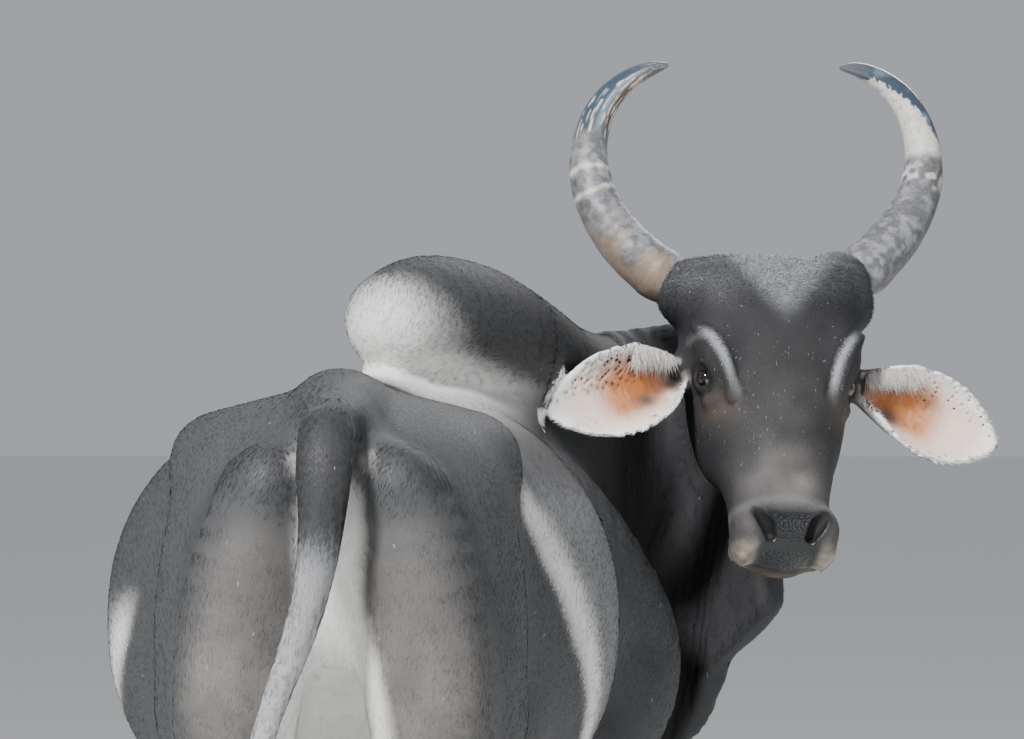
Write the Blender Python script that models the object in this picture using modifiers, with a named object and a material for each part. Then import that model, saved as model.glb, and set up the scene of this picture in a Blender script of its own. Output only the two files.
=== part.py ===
"""A life-size zebu bull of the grey lyre-horned type, standing and looking back over its right side.

Units are metres, +Z is up, and the bull's hindquarters point along -Y. The flesh is one soft solid, given
by a distance that smooth unions build up from lofts, ellipsoids and limbs. It is meshed, thinned and then
parted by thin slabs into torso, hump, neck, head, ears, tail, sheath, scrotum and legs. Horns, eyes, claws
and the switch of the tail are pieces of their own.
"""

import math

import bmesh
import bpy
import numpy as np
from mathutils import Matrix, Vector

# Driving dimensions
GAP = 0.0003  # between pieces that meet face to face
RUMP_HEIGHT = 1.455
CHEST_DEPTH = 0.80
BARREL_HALF_WIDTH = 0.425
HEAD_LENGTH = 0.572
HORN_LENGTH = 0.51  # along its curve, from where it leaves the hair

# Each horn leaves the head at its own place and rise: out, up, first turn, whole turn and how late it turns
HORN_CURVES = {-1: (0.184, -0.019, 38.0, 135.0, 1.29), 1: (0.191, 0.020, 46.0, 148.0, 1.70)}
TAIL_BONE_END = 0.66  # height at which the tail's bone ends in its switch

# The spine is straight over the pelvis and bends towards +X from here on
BEND_START = -0.10
BEND_RATE = 0.44
BEND_END = 0.80

# The head: the poll's place, and how the face is turned from straight back, tipped and leant
POLL = np.array((0.718, 0.58, 1.672))
FACE_YAW = math.radians(16.0)
FACE_TIP = math.radians(20.0)
FACE_LEAN = math.radians(4.0)

BODY_STEP = 0.0125
HEAD_STEP = 0.0055
BODY_TRIANGLES = 8200
HEAD_TRIANGLES = 3900
FAR = 0.6
REACH = 0.12
COARSE = 4


# Field maths

def smooth_min(a, b, blend):
    """The lower of two distances, rounded over where they are within the blend of each other."""
    share = np.clip(0.5 + 0.5 * (b - a) / blend, 0.0, 1.0)
    return b * (1.0 - share) + a * share - blend * share * (1.0 - share)


def smooth_curve(x, knots, values):
    """A cubic through the knots that doesn't overshoot where they rise and fall."""
    knots = np.asarray(knots, float)
    values = np.asarray(values, float)
    slopes = np.gradient(values, knots)
    rises = np.diff(values) / np.diff(knots)
    flat = np.zeros(len(values), bool)
    flat[1:-1] = rises[1:] * rises[:-1] <= 0
    slopes[flat] = 0.0
    x = np.clip(x, knots[0], knots[-1])
    i = np.clip(np.searchsorted(knots, x, side="right") - 1, 0, len(knots) - 2)
    span = knots[i + 1] - knots[i]
    t = (x - knots[i]) / span
    return (
        values[i] * (1 + 2 * t) * (1 - t) ** 2
        + slopes[i] * span * t * (1 - t) ** 2
        + values[i + 1] * t * t * (3 - 2 * t)
        + slopes[i + 1] * span * t * t * (t - 1)
    )


def through(stations, steps=4):
    """Rows of numbers made denser along a Catmull-Rom curve through them."""
    rows = np.asarray(stations, float)
    ends = np.vstack([2 * rows[0] - rows[1], rows, 2 * rows[-1] - rows[-2]])
    dense = []
    for i in range(1, len(ends) - 2):
        a, b, c, d = ends[i - 1:i + 3]
        for t in np.arange(steps) / steps:
            dense.append(0.5 * (2 * b + (c - a) * t + (2 * a - 5 * b + 4 * c - d) * t**2
                                + (3 * b - a - 3 * c + d) * t**3))
    dense.append(rows[-1])
    return np.array(dense)


def turned(tilt=0.0, heading=0.0):
    """A 3 by 3 turn: tilt about X, then heading about Z, in degrees."""
    return np.array(Matrix.Rotation(math.radians(heading), 3, "Z")
                    @ Matrix.Rotation(math.radians(tilt), 3, "X"))


# Forms: each returns (distance function, low corner, high corner)

def ellipsoid(centre, radii, tilt=0.0, heading=0.0):
    centre = np.asarray(centre, float)
    radii = np.asarray(radii, float)
    turn = turned(tilt, heading)

    def distance(p):
        q = (p - centre) @ turn / radii
        near = np.linalg.norm(q, axis=1)
        steep = np.linalg.norm(q / radii, axis=1)
        return near * (near - 1.0) / np.maximum(steep, 1e-6)

    return distance, centre - radii.max(), centre + radii.max()


def limb(stations, toward=(0.0, 1.0, 0.0)):
    """A tube through rows of x, y, z, half width and half depth. Depth is measured along toward."""
    rows = through(stations)
    toward = np.asarray(toward, float)

    def distance(p):
        best = np.full(len(p), FAR)
        for a, b in zip(rows[:-1], rows[1:]):
            run = b[:3] - a[:3]
            length = np.linalg.norm(run)
            along = run / length
            deep = toward - along * (toward @ along)
            deep /= np.linalg.norm(deep)
            wide = np.cross(along, deep)
            q = p - a[:3]
            t = np.clip(q @ along / length, 0.0, 1.0)
            q = q - t[:, None] * run
            half_wide = a[3] + t * (b[3] - a[3])
            half_deep = a[4] + t * (b[4] - a[4])
            least = np.minimum(half_wide, half_deep)
            across = np.stack([q @ wide / half_wide, q @ deep / half_deep, q @ along / least], axis=1)
            near = np.linalg.norm(across, axis=1)
            scale = np.stack([half_wide, half_deep, least], axis=1)
            steep = np.linalg.norm(across / scale, axis=1)
            best = np.minimum(best, near * (near - 1.0) / np.maximum(steep, 1e-6))
        return best

    reach = rows[:, 3:].max()
    return distance, rows[:, :3].min(axis=0) - reach, rows[:, :3].max(axis=0) + reach


def loft(stations):
    """A long form with rows of place along Y, half width, top, bottom and squareness."""
    rows = np.asarray(stations, float)
    start, end = rows[0, 0], rows[-1, 0]

    def distance(p):
        wide, top, bottom, power = (
            smooth_curve(p[:, 1], rows[:, 0], rows[:, column]) for column in range(1, 5)
        )
        half = np.maximum((top - bottom) / 2, 0.004)
        wide = np.maximum(wide, 0.004)
        across = np.abs(p[:, 0]) / wide
        upright = np.abs(p[:, 2] - (top + bottom) / 2) / half
        near = (across**power + upright**power) ** (1.0 / power)
        inside = (near - 1.0) * np.minimum(wide, half)
        beyond = np.maximum(np.maximum(start - p[:, 1], p[:, 1] - end), 0.0)
        return np.where(beyond > 0, np.hypot(np.maximum(inside, 0.0), beyond), inside)

    reach = rows[:, 1].max()
    low = np.array((-reach, start, rows[:, 3].min()))
    high = np.array((reach, end, rows[:, 2].max()))
    return distance, low, high


def curtain(stations, rounding=0.022):
    """A hanging sheet. Its rows: x and y above, x and y below, lower edge, upper edge, half thickness."""
    rows = through(stations)

    def path(row, height):
        down = np.clip((row[5] - height) / (row[5] - row[4]), 0.0, 1.0)[:, None]
        return row[:2] + down * (row[2:4] - row[:2])

    def distance(p):
        best = np.full(len(p), FAR)
        for a, b in zip(rows[:-1], rows[1:]):
            start = path(a, p[:, 2])
            run = path(b, p[:, 2]) - start
            off = p[:, :2] - start
            beyond = np.clip(np.sum(off * run, axis=1) / np.sum(run * run, axis=1), -2.0, 3.0)
            t = np.clip(beyond, 0.0, 1.0)
            off = np.linalg.norm(off - t[:, None] * run, axis=1)
            lower, upper, half = (a[i] + beyond * (b[i] - a[i]) for i in (4, 5, 6))
            wide = off - half + rounding
            tall = np.maximum(lower + rounding - p[:, 2], p[:, 2] - upper + rounding)
            outside = np.hypot(np.maximum(wide, 0.0), np.maximum(tall, 0.0))
            best = np.minimum(best, outside + np.minimum(np.maximum(wide, tall), 0.0) - rounding)
        return best

    low = np.array((rows[:, [0, 2]].min() - 0.05, rows[:, [1, 3]].min() - 0.05, rows[:, 4].min()))
    high = np.array((rows[:, [0, 2]].max() + 0.05, rows[:, [1, 3]].max() + 0.05, rows[:, 5].max()))
    return distance, low, high


# Spaces: the trunk is modelled straight and mirrored, the head upright and mirrored

def spine_shift(along):
    """How far the spine has moved towards +X, and its slope there."""
    bent = np.clip(along - BEND_START, 0.0, BEND_END - BEND_START)
    past = np.maximum(along - BEND_END, 0.0)
    slope = 2 * BEND_RATE * bent
    return BEND_RATE * bent**2 + slope * past, slope


def bend(side, along, up):
    """The place in the world of a point given beside the straight spine."""
    shift, slope = spine_shift(np.asarray(along, float))
    norm = math.hypot(1.0, float(slope))
    return (float(shift) + side / norm, along - side * float(slope) / norm, up)


def unbend(p):
    """World points as side, place along the spine and height. The inverse of bend."""
    along = p[:, 1].copy()
    for _ in range(4):
        shift, slope = spine_shift(along)
        along += ((p[:, 0] - shift) * slope + (p[:, 1] - along)) / (1.0 + slope**2)
    shift, slope = spine_shift(along)
    side = ((p[:, 0] - shift) - (p[:, 1] - along) * slope) / np.sqrt(1.0 + slope**2)
    return np.stack([side, along, p[:, 2]], axis=1)


def head_axes():
    """Rows: across the face from the bull's right to its left, poll to muzzle, and out of the forehead."""
    turn = (Matrix.Rotation(FACE_YAW, 3, "Z") @ Matrix.Rotation(FACE_LEAN, 3, "Y")
            @ Matrix.Rotation(-FACE_TIP, 3, "X"))
    return np.array((turn @ Vector((1, 0, 0)), turn @ Vector((0, 0, -1)), turn @ Vector((0, -1, 0))))


HEAD_AXES = head_axes()


def to_head(p):
    return (p - POLL) @ HEAD_AXES.T


def from_head(q):
    return POLL + np.asarray(q, float) @ HEAD_AXES


def mirrored(q):
    return np.column_stack([np.abs(q[:, 0]), q[:, 1:]])


class Flesh:
    """A soft solid made of forms. Its value at a point is about the distance to the skin."""

    def __init__(self):
        self.forms = []

    def add(self, space, form, blend=0.03):
        self.forms.append((space, *form, blend, False))

    def carve(self, space, form, blend=0.01):
        self.forms.append((space, *form, blend, True))

    def value(self, p):
        trunk, head = unbend(p), to_head(p)
        spaces = {
            "world": p,
            "trunk": trunk,
            "trunk both": mirrored(trunk),
            "head": head,
            "head both": mirrored(head),
        }
        total = np.full(len(p), FAR)
        for space, distance, low, high, blend, carved in self.forms:
            q = spaces[space]
            near = np.all((q > low - REACH) & (q < high + REACH), axis=1)
            if not near.any():
                continue
            found = distance(q[near])
            if carved:
                total[near] = -smooth_min(-total[near], found, blend)
            else:
                total[near] = smooth_min(total[near], found, blend)
        return total

    def slope(self, p, reach=0.001):
        """How fast the value grows along each axis."""
        steps = np.eye(3) * reach
        return np.stack([self.value(p + s) - self.value(p - s) for s in steps], axis=1) / (2 * reach)

    def settled(self, p):
        """The points moved on to the skin."""
        slope = self.slope(p)
        return p - slope * (self.value(p) / np.maximum(np.sum(slope**2, axis=1), 0.3))[:, None]


# The bull's flesh

def add_trunk(flesh):
    top = RUMP_HEIGHT
    belly = top - CHEST_DEPTH
    wide = BARREL_HALF_WIDTH
    flesh.add("trunk", loft((
        (-0.84, 0.004, 1.24, 1.20, 2.0),
        (-0.80, 0.10, 1.33, 1.08, 2.0),
        (-0.68, 0.17, top - 0.05, 0.98, 2.0),
        (-0.50, 0.22, top - 0.02, 0.86, 2.0),
        (-0.30, wide - 0.10, top - 0.025, belly + 0.08, 2.1),
        (-0.08, wide - 0.015, top - 0.03, belly + 0.015, 2.2),
        (0.10, wide, top - 0.025, belly - 0.005, 2.2),
        (0.30, wide - 0.04, top - 0.015, belly - 0.01, 1.9),
        (0.50, wide - 0.11, top - 0.03, belly - 0.01, 1.65),
        (0.68, wide - 0.19, top - 0.12, belly + 0.01, 1.7),
        (0.80, 0.12, top - 0.26, belly + 0.08, 2.0),
        (0.86, 0.004, top - 0.42, belly + 0.24, 2.0),
    )), 0.03)
    # Sacrum and the ridge of the loin
    flesh.add("trunk", limb((
        (0.0, -0.80, top - 0.075, 0.036, 0.040),
        (0.0, -0.66, top - 0.045, 0.050, 0.045),
        (0.0, -0.50, top - 0.040, 0.055, 0.045),
        (0.0, -0.20, top - 0.055, 0.060, 0.035),
        (0.0, 0.12, top - 0.050, 0.065, 0.040),
    ), toward=(0, 0, 1)), 0.07)
    # Croup, hook, pin, thigh, hamstring and stifle
    flesh.add("trunk both", ellipsoid((0.125, -0.46, 1.265), (0.125, 0.27, 0.145), tilt=8), 0.05)
    flesh.add("trunk both", ellipsoid((0.226, -0.36, 1.320), (0.052, 0.090, 0.060)), 0.08)
    flesh.add("trunk both", ellipsoid((0.098, -0.800, 1.300), (0.040, 0.052, 0.050)), 0.05)
    flesh.add("trunk both", ellipsoid((0.172, -0.50, 1.04), (0.128, 0.27, 0.33), tilt=-6), 0.05)
    flesh.add("trunk both", limb((
        (0.112, -0.760, 1.27, 0.070, 0.085),
        (0.135, -0.775, 1.12, 0.095, 0.095),
        (0.150, -0.755, 0.95, 0.100, 0.105),
        (0.165, -0.700, 0.78, 0.080, 0.095),
    )), 0.05)
    flesh.add("trunk both", ellipsoid((0.222, -0.24, 0.86), (0.070, 0.085, 0.13), tilt=-15), 0.07)
    # Flank fold from the stifle to the belly
    flesh.add("trunk both", ellipsoid((0.20, -0.14, 0.80), (0.06, 0.14, 0.09)), 0.08)
    # Withers, shoulder blade, upper arm and point of the shoulder
    flesh.add("trunk both", ellipsoid((0.070, 0.34, 1.350), (0.095, 0.22, 0.100)), 0.05)
    flesh.add("trunk both", limb((
        (0.120, 0.42, 1.270, 0.070, 0.110),
        (0.190, 0.52, 1.140, 0.090, 0.150),
        (0.225, 0.64, 1.010, 0.085, 0.120),
        (0.245, 0.62, 0.900, 0.085, 0.110),
        (0.240, 0.54, 0.800, 0.075, 0.105),
    )), 0.06)
    # Breast between the forelegs
    flesh.add("trunk", ellipsoid((0.0, 0.70, 0.86), (0.15, 0.17, 0.20)), 0.08)


def add_hump(flesh):
    """The hump stands on the withers, leans back over them and runs forward into the crest."""
    flesh.add("world", limb((
        (0.066, 0.140, 1.545, 0.092, 0.090),
        (0.110, 0.225, 1.543, 0.118, 0.112),
        (0.170, 0.360, 1.518, 0.130, 0.124),
        (0.238, 0.500, 1.475, 0.124, 0.122),
        (0.305, 0.640, 1.435, 0.106, 0.112),
        (0.375, 0.770, 1.415, 0.085, 0.102),
    ), toward=(0, 0, 1)), 0.035)
    # Its root, which fills it out to the shoulders under its front half
    flesh.add("world", limb((
        (0.170, 0.400, 1.395, 0.095, 0.060),
        (0.240, 0.550, 1.355, 0.100, 0.080),
        (0.315, 0.690, 1.320, 0.100, 0.090),
    ), toward=(0, 0, 1)), 0.08)


def add_neck(flesh):
    flesh.add("world", limb((
        (0.160, 0.52, 1.11, 0.180, 0.270),
        (0.260, 0.72, 1.19, 0.155, 0.265),
        (0.365, 0.86, 1.28, 0.132, 0.240),
        (0.485, 0.93, 1.35, 0.115, 0.186),
        (0.600, 0.90, 1.395, 0.110, 0.152),
        (0.676, 0.79, 1.435, 0.105, 0.130),
    ), toward=(0, 0, 1)), 0.06)
    # The dewlap, from between the forelegs round to the throat
    flesh.add("world", curtain((
        (0.110, 0.46, 0.110, 0.44, 0.615, 0.90, 0.050),
        (0.205, 0.70, 0.190, 0.61, 0.580, 1.00, 0.046),
        (0.325, 0.86, 0.300, 0.72, 0.610, 1.15, 0.034),
        (0.450, 0.93, 0.430, 0.79, 0.690, 1.22, 0.028),
        (0.560, 0.90, 0.555, 0.79, 0.800, 1.26, 0.026),
        (0.640, 0.81, 0.605, 0.74, 0.925, 1.28, 0.028),
        (0.674, 0.73, 0.655, 0.70, 0.980, 1.28, 0.032),
        (0.688, 0.67, 0.694, 0.65, 1.025, 1.26, 0.027),
    )), 0.05)


# The eyeball, and the way that it looks, in the head's axes
EYE_PLACE = np.array((0.123, 0.228, -0.074))
EYE_RADIUS = 0.0205
EYE_LOOK = np.array((0.73, 0.13, 0.67))


def eye_point(radius, aside, around):
    """A point off the way the eye looks. Around is 0 at the eye's front corner and 90 at the lower lid."""
    look = EYE_LOOK / np.linalg.norm(EYE_LOOK)
    front = np.array((0.0, 1.0, 0.0)) - look * look[1]
    front /= np.linalg.norm(front)
    under = np.cross(look, front)
    if under[2] > 0:
        under = -under
    aside, around = math.radians(aside), math.radians(around)
    off = math.cos(around) * front + math.sin(around) * under
    return EYE_PLACE + radius * (math.cos(aside) * look + math.sin(aside) * off)


def eye_arc(radius, arounds, aside, thick):
    """Rows of a limb that runs round the eye, with the lids' corners further out than their middles."""
    rows = []
    for around in arounds:
        corner = abs(math.cos(math.radians(around)))
        rows.append((*eye_point(radius, aside + 14.0 * corner, around), thick, thick))
    return rows


def add_head(flesh):
    length = HEAD_LENGTH
    flesh.add("head", loft((
        (-0.006, 0.020, -0.080, -0.110, 2.2),
        (0.004, 0.115, -0.040, -0.150, 2.4),
        (0.030, 0.152, -0.016, -0.180, 2.6),
        (0.100, 0.158, 0.000, -0.215, 2.6),
        (0.180, 0.148, 0.002, -0.240, 2.5),
        (0.260, 0.136, -0.001, -0.242, 2.3),
        (0.330, 0.119, -0.006, -0.222, 2.15),
        (0.400, 0.101, -0.010, -0.186, 2.1),
        (0.450, 0.089, -0.010, -0.160, 2.2),
        (0.490, 0.087, -0.006, -0.150, 2.6),
        (0.524, 0.083, -0.012, -0.145, 2.6),
        (length - 0.018, 0.072, -0.040, -0.130, 2.4),
        (length - 0.004, 0.030, -0.080, -0.110, 2.0),
    )), 0.02)
    # Pads of hair and bone under the horns, brow, cheek, jaw and ear root
    flesh.add("head both", ellipsoid((0.147, 0.062, -0.114), (0.046, 0.050, 0.058)), 0.022)
    for side, (out, rise, *_) in HORN_CURVES.items():
        root = (side * (out - 0.062), 0.030 - rise, -0.116)
        flesh.add("head", ellipsoid(root, (0.056, 0.046, 0.060)), 0.03)
    flesh.add("head both", ellipsoid((0.112, 0.180, -0.044), (0.032, 0.050, 0.034)), 0.035)
    flesh.add("head both", limb((
        (0.151, 0.140, -0.050, 0.008, 0.008),
        (0.136, 0.156, -0.028, 0.011, 0.011),
        (0.116, 0.190, -0.016, 0.012, 0.012),
        (0.103, 0.234, -0.018, 0.011, 0.011),
        (0.095, 0.276, -0.030, 0.007, 0.007),
    )), 0.010)
    brow = eye_arc(0.043, (-150, -120, -90, -60, -30, -5), 66.0, 0.0085)
    flesh.add("head both", limb(brow, toward=(0, 0, 1)), 0.02)
    flesh.add("head both", ellipsoid((0.082, 0.285, -0.155), (0.040, 0.100, 0.074)), 0.04)
    flesh.add("head both", limb((
        (0.120, 0.185, -0.125, 0.036, 0.040),
        (0.160, 0.198, -0.134, 0.023, 0.027),
    ), toward=(0, 1, 0)), 0.03)
    # Muzzle: the wings of the nostrils, hanging corners of the upper lip, and the chin
    flesh.add("head both", ellipsoid((0.060, 0.508, -0.040), (0.033, 0.038, 0.036)), 0.02)
    flesh.add("head both", ellipsoid((0.070, 0.537, -0.074), (0.020, 0.029, 0.036)), 0.02)
    flesh.add("head", ellipsoid((0.0, 0.541, -0.104), (0.056, 0.031, 0.036)), 0.015)
    # Nostrils, mouth line and the hollows that hold the eyes
    flesh.carve("head both", limb((
        (0.037, 0.526, -0.021, 0.010, 0.013),
        (0.048, 0.506, -0.006, 0.013, 0.016),
        (0.061, 0.490, -0.002, 0.008, 0.011),
    ), toward=(0, 0, 1)), 0.006)
    flesh.carve("head both", limb((
        (0.000, 0.574, -0.078, 0.006, 0.007),
        (0.050, 0.566, -0.086, 0.0065, 0.007),
        (0.090, 0.533, -0.102, 0.0070, 0.007),
        (0.096, 0.460, -0.114, 0.005, 0.006),
    ), toward=(0, 0, 1)), 0.006)
    opening = eye_point(EYE_RADIUS + 0.006, 0.0, 0.0)
    flesh.carve("head both", ellipsoid(opening, (0.017, 0.021, 0.017)), 0.012)
    # Upper and lower lids round the eyeball
    rim = EYE_RADIUS + 0.0015
    flesh.add("head both", limb(eye_arc(rim, (180, 225, 270, 315, 360), 56.0, 0.0065)), 0.010)
    flesh.add("head both", limb(eye_arc(rim, (180, 135, 90, 45, 0), 60.0, 0.0055)), 0.010)


FORE_HEADING = math.radians(-16.0)


def fore_leg_rows(side):
    """Rows down one foreleg. The right foot, at side 1, stands a little further back."""
    foot = bend(side * 0.185, 0.54 - 0.03 * side, 0.0)
    elbow = bend(side * 0.235, 0.51, 0.80)
    drop = ((0.80, 0.085, 0.115), (0.68, 0.070, 0.090), (0.56, 0.055, 0.066), (0.46, 0.048, 0.050),
            (0.41, 0.051, 0.054), (0.36, 0.038, 0.042), (0.26, 0.030, 0.034), (0.185, 0.031, 0.036),
            (0.145, 0.042, 0.046), (0.105, 0.038, 0.040), (0.050, 0.047, 0.056))
    rows = []
    for height, wide, deep in drop:
        share = min(1.0, (0.80 - height) / 0.34)
        ahead = 0.055 * max(0.0, (0.145 - height) / 0.095)
        rows.append((elbow[0] + share * (foot[0] - elbow[0]) - ahead * math.sin(FORE_HEADING),
                     elbow[1] + share * (foot[1] - elbow[1]) + ahead * math.cos(FORE_HEADING),
                     height, wide, deep))
    return rows


def hind_leg_rows(side):
    """Rows down one hind leg. The left leg, at side -1, is set a little forward."""
    shift = 0.035 * (side < 0)
    return [(side * x, y + shift * min(1.0, (0.90 - z) / 0.4), z, wide, deep) for x, y, z, wide, deep in (
        (0.190, -0.47, 0.90, 0.105, 0.170),
        (0.190, -0.55, 0.76, 0.075, 0.120),
        (0.185, -0.645, 0.63, 0.047, 0.075),
        (0.180, -0.700, 0.53, 0.042, 0.062),
        (0.180, -0.712, 0.46, 0.040, 0.052),
        (0.178, -0.700, 0.38, 0.032, 0.040),
        (0.176, -0.685, 0.27, 0.029, 0.035),
        (0.176, -0.672, 0.185, 0.031, 0.037),
        (0.176, -0.668, 0.145, 0.042, 0.046),
        (0.176, -0.645, 0.105, 0.038, 0.040),
        (0.176, -0.612, 0.050, 0.047, 0.056),
    )]


def heel_cord(side):
    """The tendon that runs down to the point of the hock."""
    shift = 0.035 * (side < 0)
    return [(side * x, y + shift, z, r, r) for x, y, z, r in (
        (0.178, -0.745, 0.80, 0.030), (0.180, -0.760, 0.68, 0.020),
        (0.180, -0.768, 0.58, 0.022), (0.180, -0.740, 0.52, 0.024))]


def dew_claws(rows):
    """Two blunt spurs behind the fetlock."""
    fetlock = rows[8]
    for aside in (-0.022, 0.022):
        yield ellipsoid((fetlock[0] + aside, fetlock[1] - 0.046, 0.125), (0.013, 0.015, 0.022))


TAIL_ROWS = (
    (0.000, -0.740, 1.400, 0.040, 0.034),
    (-0.002, -0.850, 1.385, 0.043, 0.036),
    (-0.005, -0.908, 1.330, 0.045, 0.034),
    (-0.009, -0.925, 1.240, 0.037, 0.030),
    (-0.020, -0.930, 1.150, 0.030, 0.027),
    (-0.044, -0.930, 1.060, 0.026, 0.024),
    (-0.077, -0.925, 0.970, 0.021, 0.021),
    (-0.106, -0.918, 0.880, 0.019, 0.019),
    (-0.128, -0.912, 0.780, 0.017, 0.017),
    (-0.138, -0.908, TAIL_BONE_END, 0.014, 0.014),
)


TAIL_DEEP = (0.0, 1.0, 0.3)


def bull_flesh():
    flesh = Flesh()
    add_trunk(flesh)
    add_hump(flesh)
    add_neck(flesh)
    for side in (-1, 1):
        fore, hind = fore_leg_rows(side), hind_leg_rows(side)
        flesh.add("world", limb(fore), 0.035)
        flesh.add("world", limb(hind), 0.035)
        flesh.add("world", limb(heel_cord(side)), 0.02)
        for rows in (fore, hind):
            for spur in dew_claws(rows):
                flesh.add("world", spur, 0.008)
    flesh.add("world", limb(TAIL_ROWS[:4], toward=TAIL_DEEP), 0.02)
    # Sheath under the belly, and the scrotum between the thighs
    flesh.add("trunk", limb((
        (0.0, -0.16, 0.700, 0.050, 0.050),
        (0.0, 0.00, 0.625, 0.042, 0.050),
        (0.0, 0.10, 0.560, 0.030, 0.034),
    ), toward=(0, 0, 1)), 0.06)
    flesh.add("trunk", limb((
        (0.0, -0.46, 0.84, 0.060, 0.060),
        (0.0, -0.475, 0.74, 0.042, 0.045),
        (0.0, -0.480, 0.62, 0.064, 0.058),
        (0.0, -0.482, 0.56, 0.054, 0.050),
    )), 0.03)
    add_head(flesh)
    return flesh


# Meshing the flesh

def sampled(flesh, low, high, step):
    """The flesh on a grid. It is read in full only near the skin, and coarsely elsewhere."""
    cells = np.ceil((high - low) / (step * COARSE)).astype(int)
    counts = cells + 1
    axes = [low[i] + step * COARSE * np.arange(counts[i]) for i in range(3)]
    corners = np.stack(np.meshgrid(*axes, indexing="ij"), axis=-1).reshape(-1, 3)
    rough = flesh.value(corners).reshape(counts)
    near = np.abs(rough) < step * COARSE * 1.9
    grown = near.copy()
    for axis in range(3):
        grown |= np.roll(near, 1, axis) | np.roll(near, -1, axis)
    fine_counts = cells * COARSE + 1
    pick = [np.minimum((np.arange(n) + COARSE // 2) // COARSE, counts[i] - 1)
            for i, n in enumerate(fine_counts)]
    values = rough[np.ix_(*pick)].copy()
    wanted = np.argwhere(grown[np.ix_(*pick)])
    for part in np.array_split(wanted, max(1, len(wanted) // 400000)):
        values[tuple(part.T)] = flesh.value(low + step * part)
    return values


def without_pinches(values):
    """The grid with no face whose inside corners meet only across it, which would pinch the surface."""
    for _ in range(6):
        found = False
        for axis in range(3):
            view = np.moveaxis(values, axis, 0)
            a, b, c, d = view[:, :-1, :-1], view[:, 1:, :-1], view[:, 1:, 1:], view[:, :-1, 1:]
            one = (a < 0) & (c < 0) & (b >= 0) & (d >= 0)
            two = (b < 0) & (d < 0) & (a >= 0) & (c >= 0)
            found = found or bool(one.any() or two.any())
            b[one] = -0.0005
            a[two] = -0.0005
        if not found:
            break
    return values


def surface_net(values, low, step):
    """Points and quads of the zero level, one point in each cell that the skin crosses."""
    inside = values < 0
    shape = np.array(values.shape) - 1
    offsets = np.array([(i, j, k) for i in (0, 1) for j in (0, 1) for k in (0, 1)])
    count = sum(inside[tuple(slice(o, o + n) for o, n in zip(offset, shape))].astype(np.int8)
                for offset in offsets)
    crossed = (count > 0) & (count < 8)
    cells = np.argwhere(crossed)
    index = np.full(shape, -1)
    index[crossed] = np.arange(len(cells))
    total, number = np.zeros((len(cells), 3)), np.zeros(len(cells))
    for a in offsets:
        for axis in np.flatnonzero(a == 0):
            b = a + np.eye(3, dtype=int)[axis]
            first = values[tuple((cells + a).T)]
            second = values[tuple((cells + b).T)]
            cut = (first < 0) != (second < 0)
            share = first[cut] / (first[cut] - second[cut])
            total[cut] += cells[cut] + a + share[:, None] * (b - a)
            number[cut] += 1
    points = low + step * total / number[:, None]
    quads = []
    for axis in range(3):
        u, v = np.eye(3, dtype=int)[(axis + 1) % 3], np.eye(3, dtype=int)[(axis + 2) % 3]
        first = np.moveaxis(inside, axis, 0)[:-1]
        second = np.moveaxis(inside, axis, 0)[1:]
        edges = np.argwhere(np.moveaxis(first != second, 0, axis))
        room = np.all((edges - u - v >= 0) & (edges < shape), axis=1)
        edges = edges[room]
        quad = np.stack([index[tuple((edges - o).T)] for o in (0 * u, u, u + v, v)], axis=1)
        outward = inside[tuple(edges.T)]
        quads.append(np.where(outward[:, None], quad, quad[:, ::-1]))
    return points, np.concatenate(quads)


def relaxed(flesh, points, quads, rounds=3):
    """The points evened out over the skin and set back on it."""
    ends = np.concatenate([quads[:, [i, (i + 1) % 4]] for i in range(4)])
    for _ in range(rounds):
        total, number = np.zeros_like(points), np.zeros(len(points))
        for a, b in ((0, 1), (1, 0)):
            np.add.at(total, ends[:, a], points[ends[:, b]])
            np.add.at(number, ends[:, a], 1)
        points = points + 0.5 * (total / number[:, None] - points)
        points = flesh.settled(points)
    return points


def mesh_object(name, points, faces, collection):
    mesh = bpy.data.meshes.new(name)
    mesh.from_pydata([tuple(p) for p in points], [], [tuple(int(i) for i in f) for f in faces])
    mesh.update()
    made = bpy.data.objects.new(name, mesh)
    collection.objects.link(made)
    return made


def meshed(name, flesh, low, high, step, triangles, collection):
    """The flesh inside a box as a mesh object with about the stated number of triangles."""
    low, high = np.asarray(low, float), np.asarray(high, float)
    values = sampled(flesh, low, high, step)
    for axis in range(3):
        ends = np.moveaxis(values, axis, 0)
        ends[0], ends[-1] = np.maximum(ends[0], step), np.maximum(ends[-1], step)
    points, quads = surface_net(without_pinches(values), low, step)
    well_in = np.all((points > low + 3 * step) & (points < high - 3 * step), axis=1)
    settled = relaxed(flesh, points, quads)
    points = np.where(well_in[:, None], settled, points)
    made = mesh_object(name, points, quads, collection)
    thin = made.modifiers.new("Thin", "DECIMATE")
    thin.ratio = min(1.0, triangles / (2.0 * len(quads)))
    apply_modifiers(made)
    return made


# Mesh tools

def apply_modifiers(thing):
    bpy.context.view_layer.update()
    evaluated = thing.evaluated_get(bpy.context.evaluated_depsgraph_get())
    mesh = bpy.data.meshes.new_from_object(evaluated)
    old = thing.data
    thing.modifiers.clear()
    thing.data = mesh
    bpy.data.meshes.remove(old)


def combine(thing, others, operation, solver="EXACT"):
    """A Boolean of the object with others, which are then removed."""
    group = bpy.data.collections.new("Operands")
    bpy.context.scene.collection.children.link(group)
    for other in others:
        for old in list(other.users_collection):
            old.objects.unlink(other)
        group.objects.link(other)
    change = thing.modifiers.new("Combine", "BOOLEAN")
    change.operation = operation
    change.operand_type = "COLLECTION"
    change.collection = group
    change.solver = solver
    apply_modifiers(thing)
    for other in others:
        bpy.data.objects.remove(other)
    bpy.data.collections.remove(group)


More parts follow.
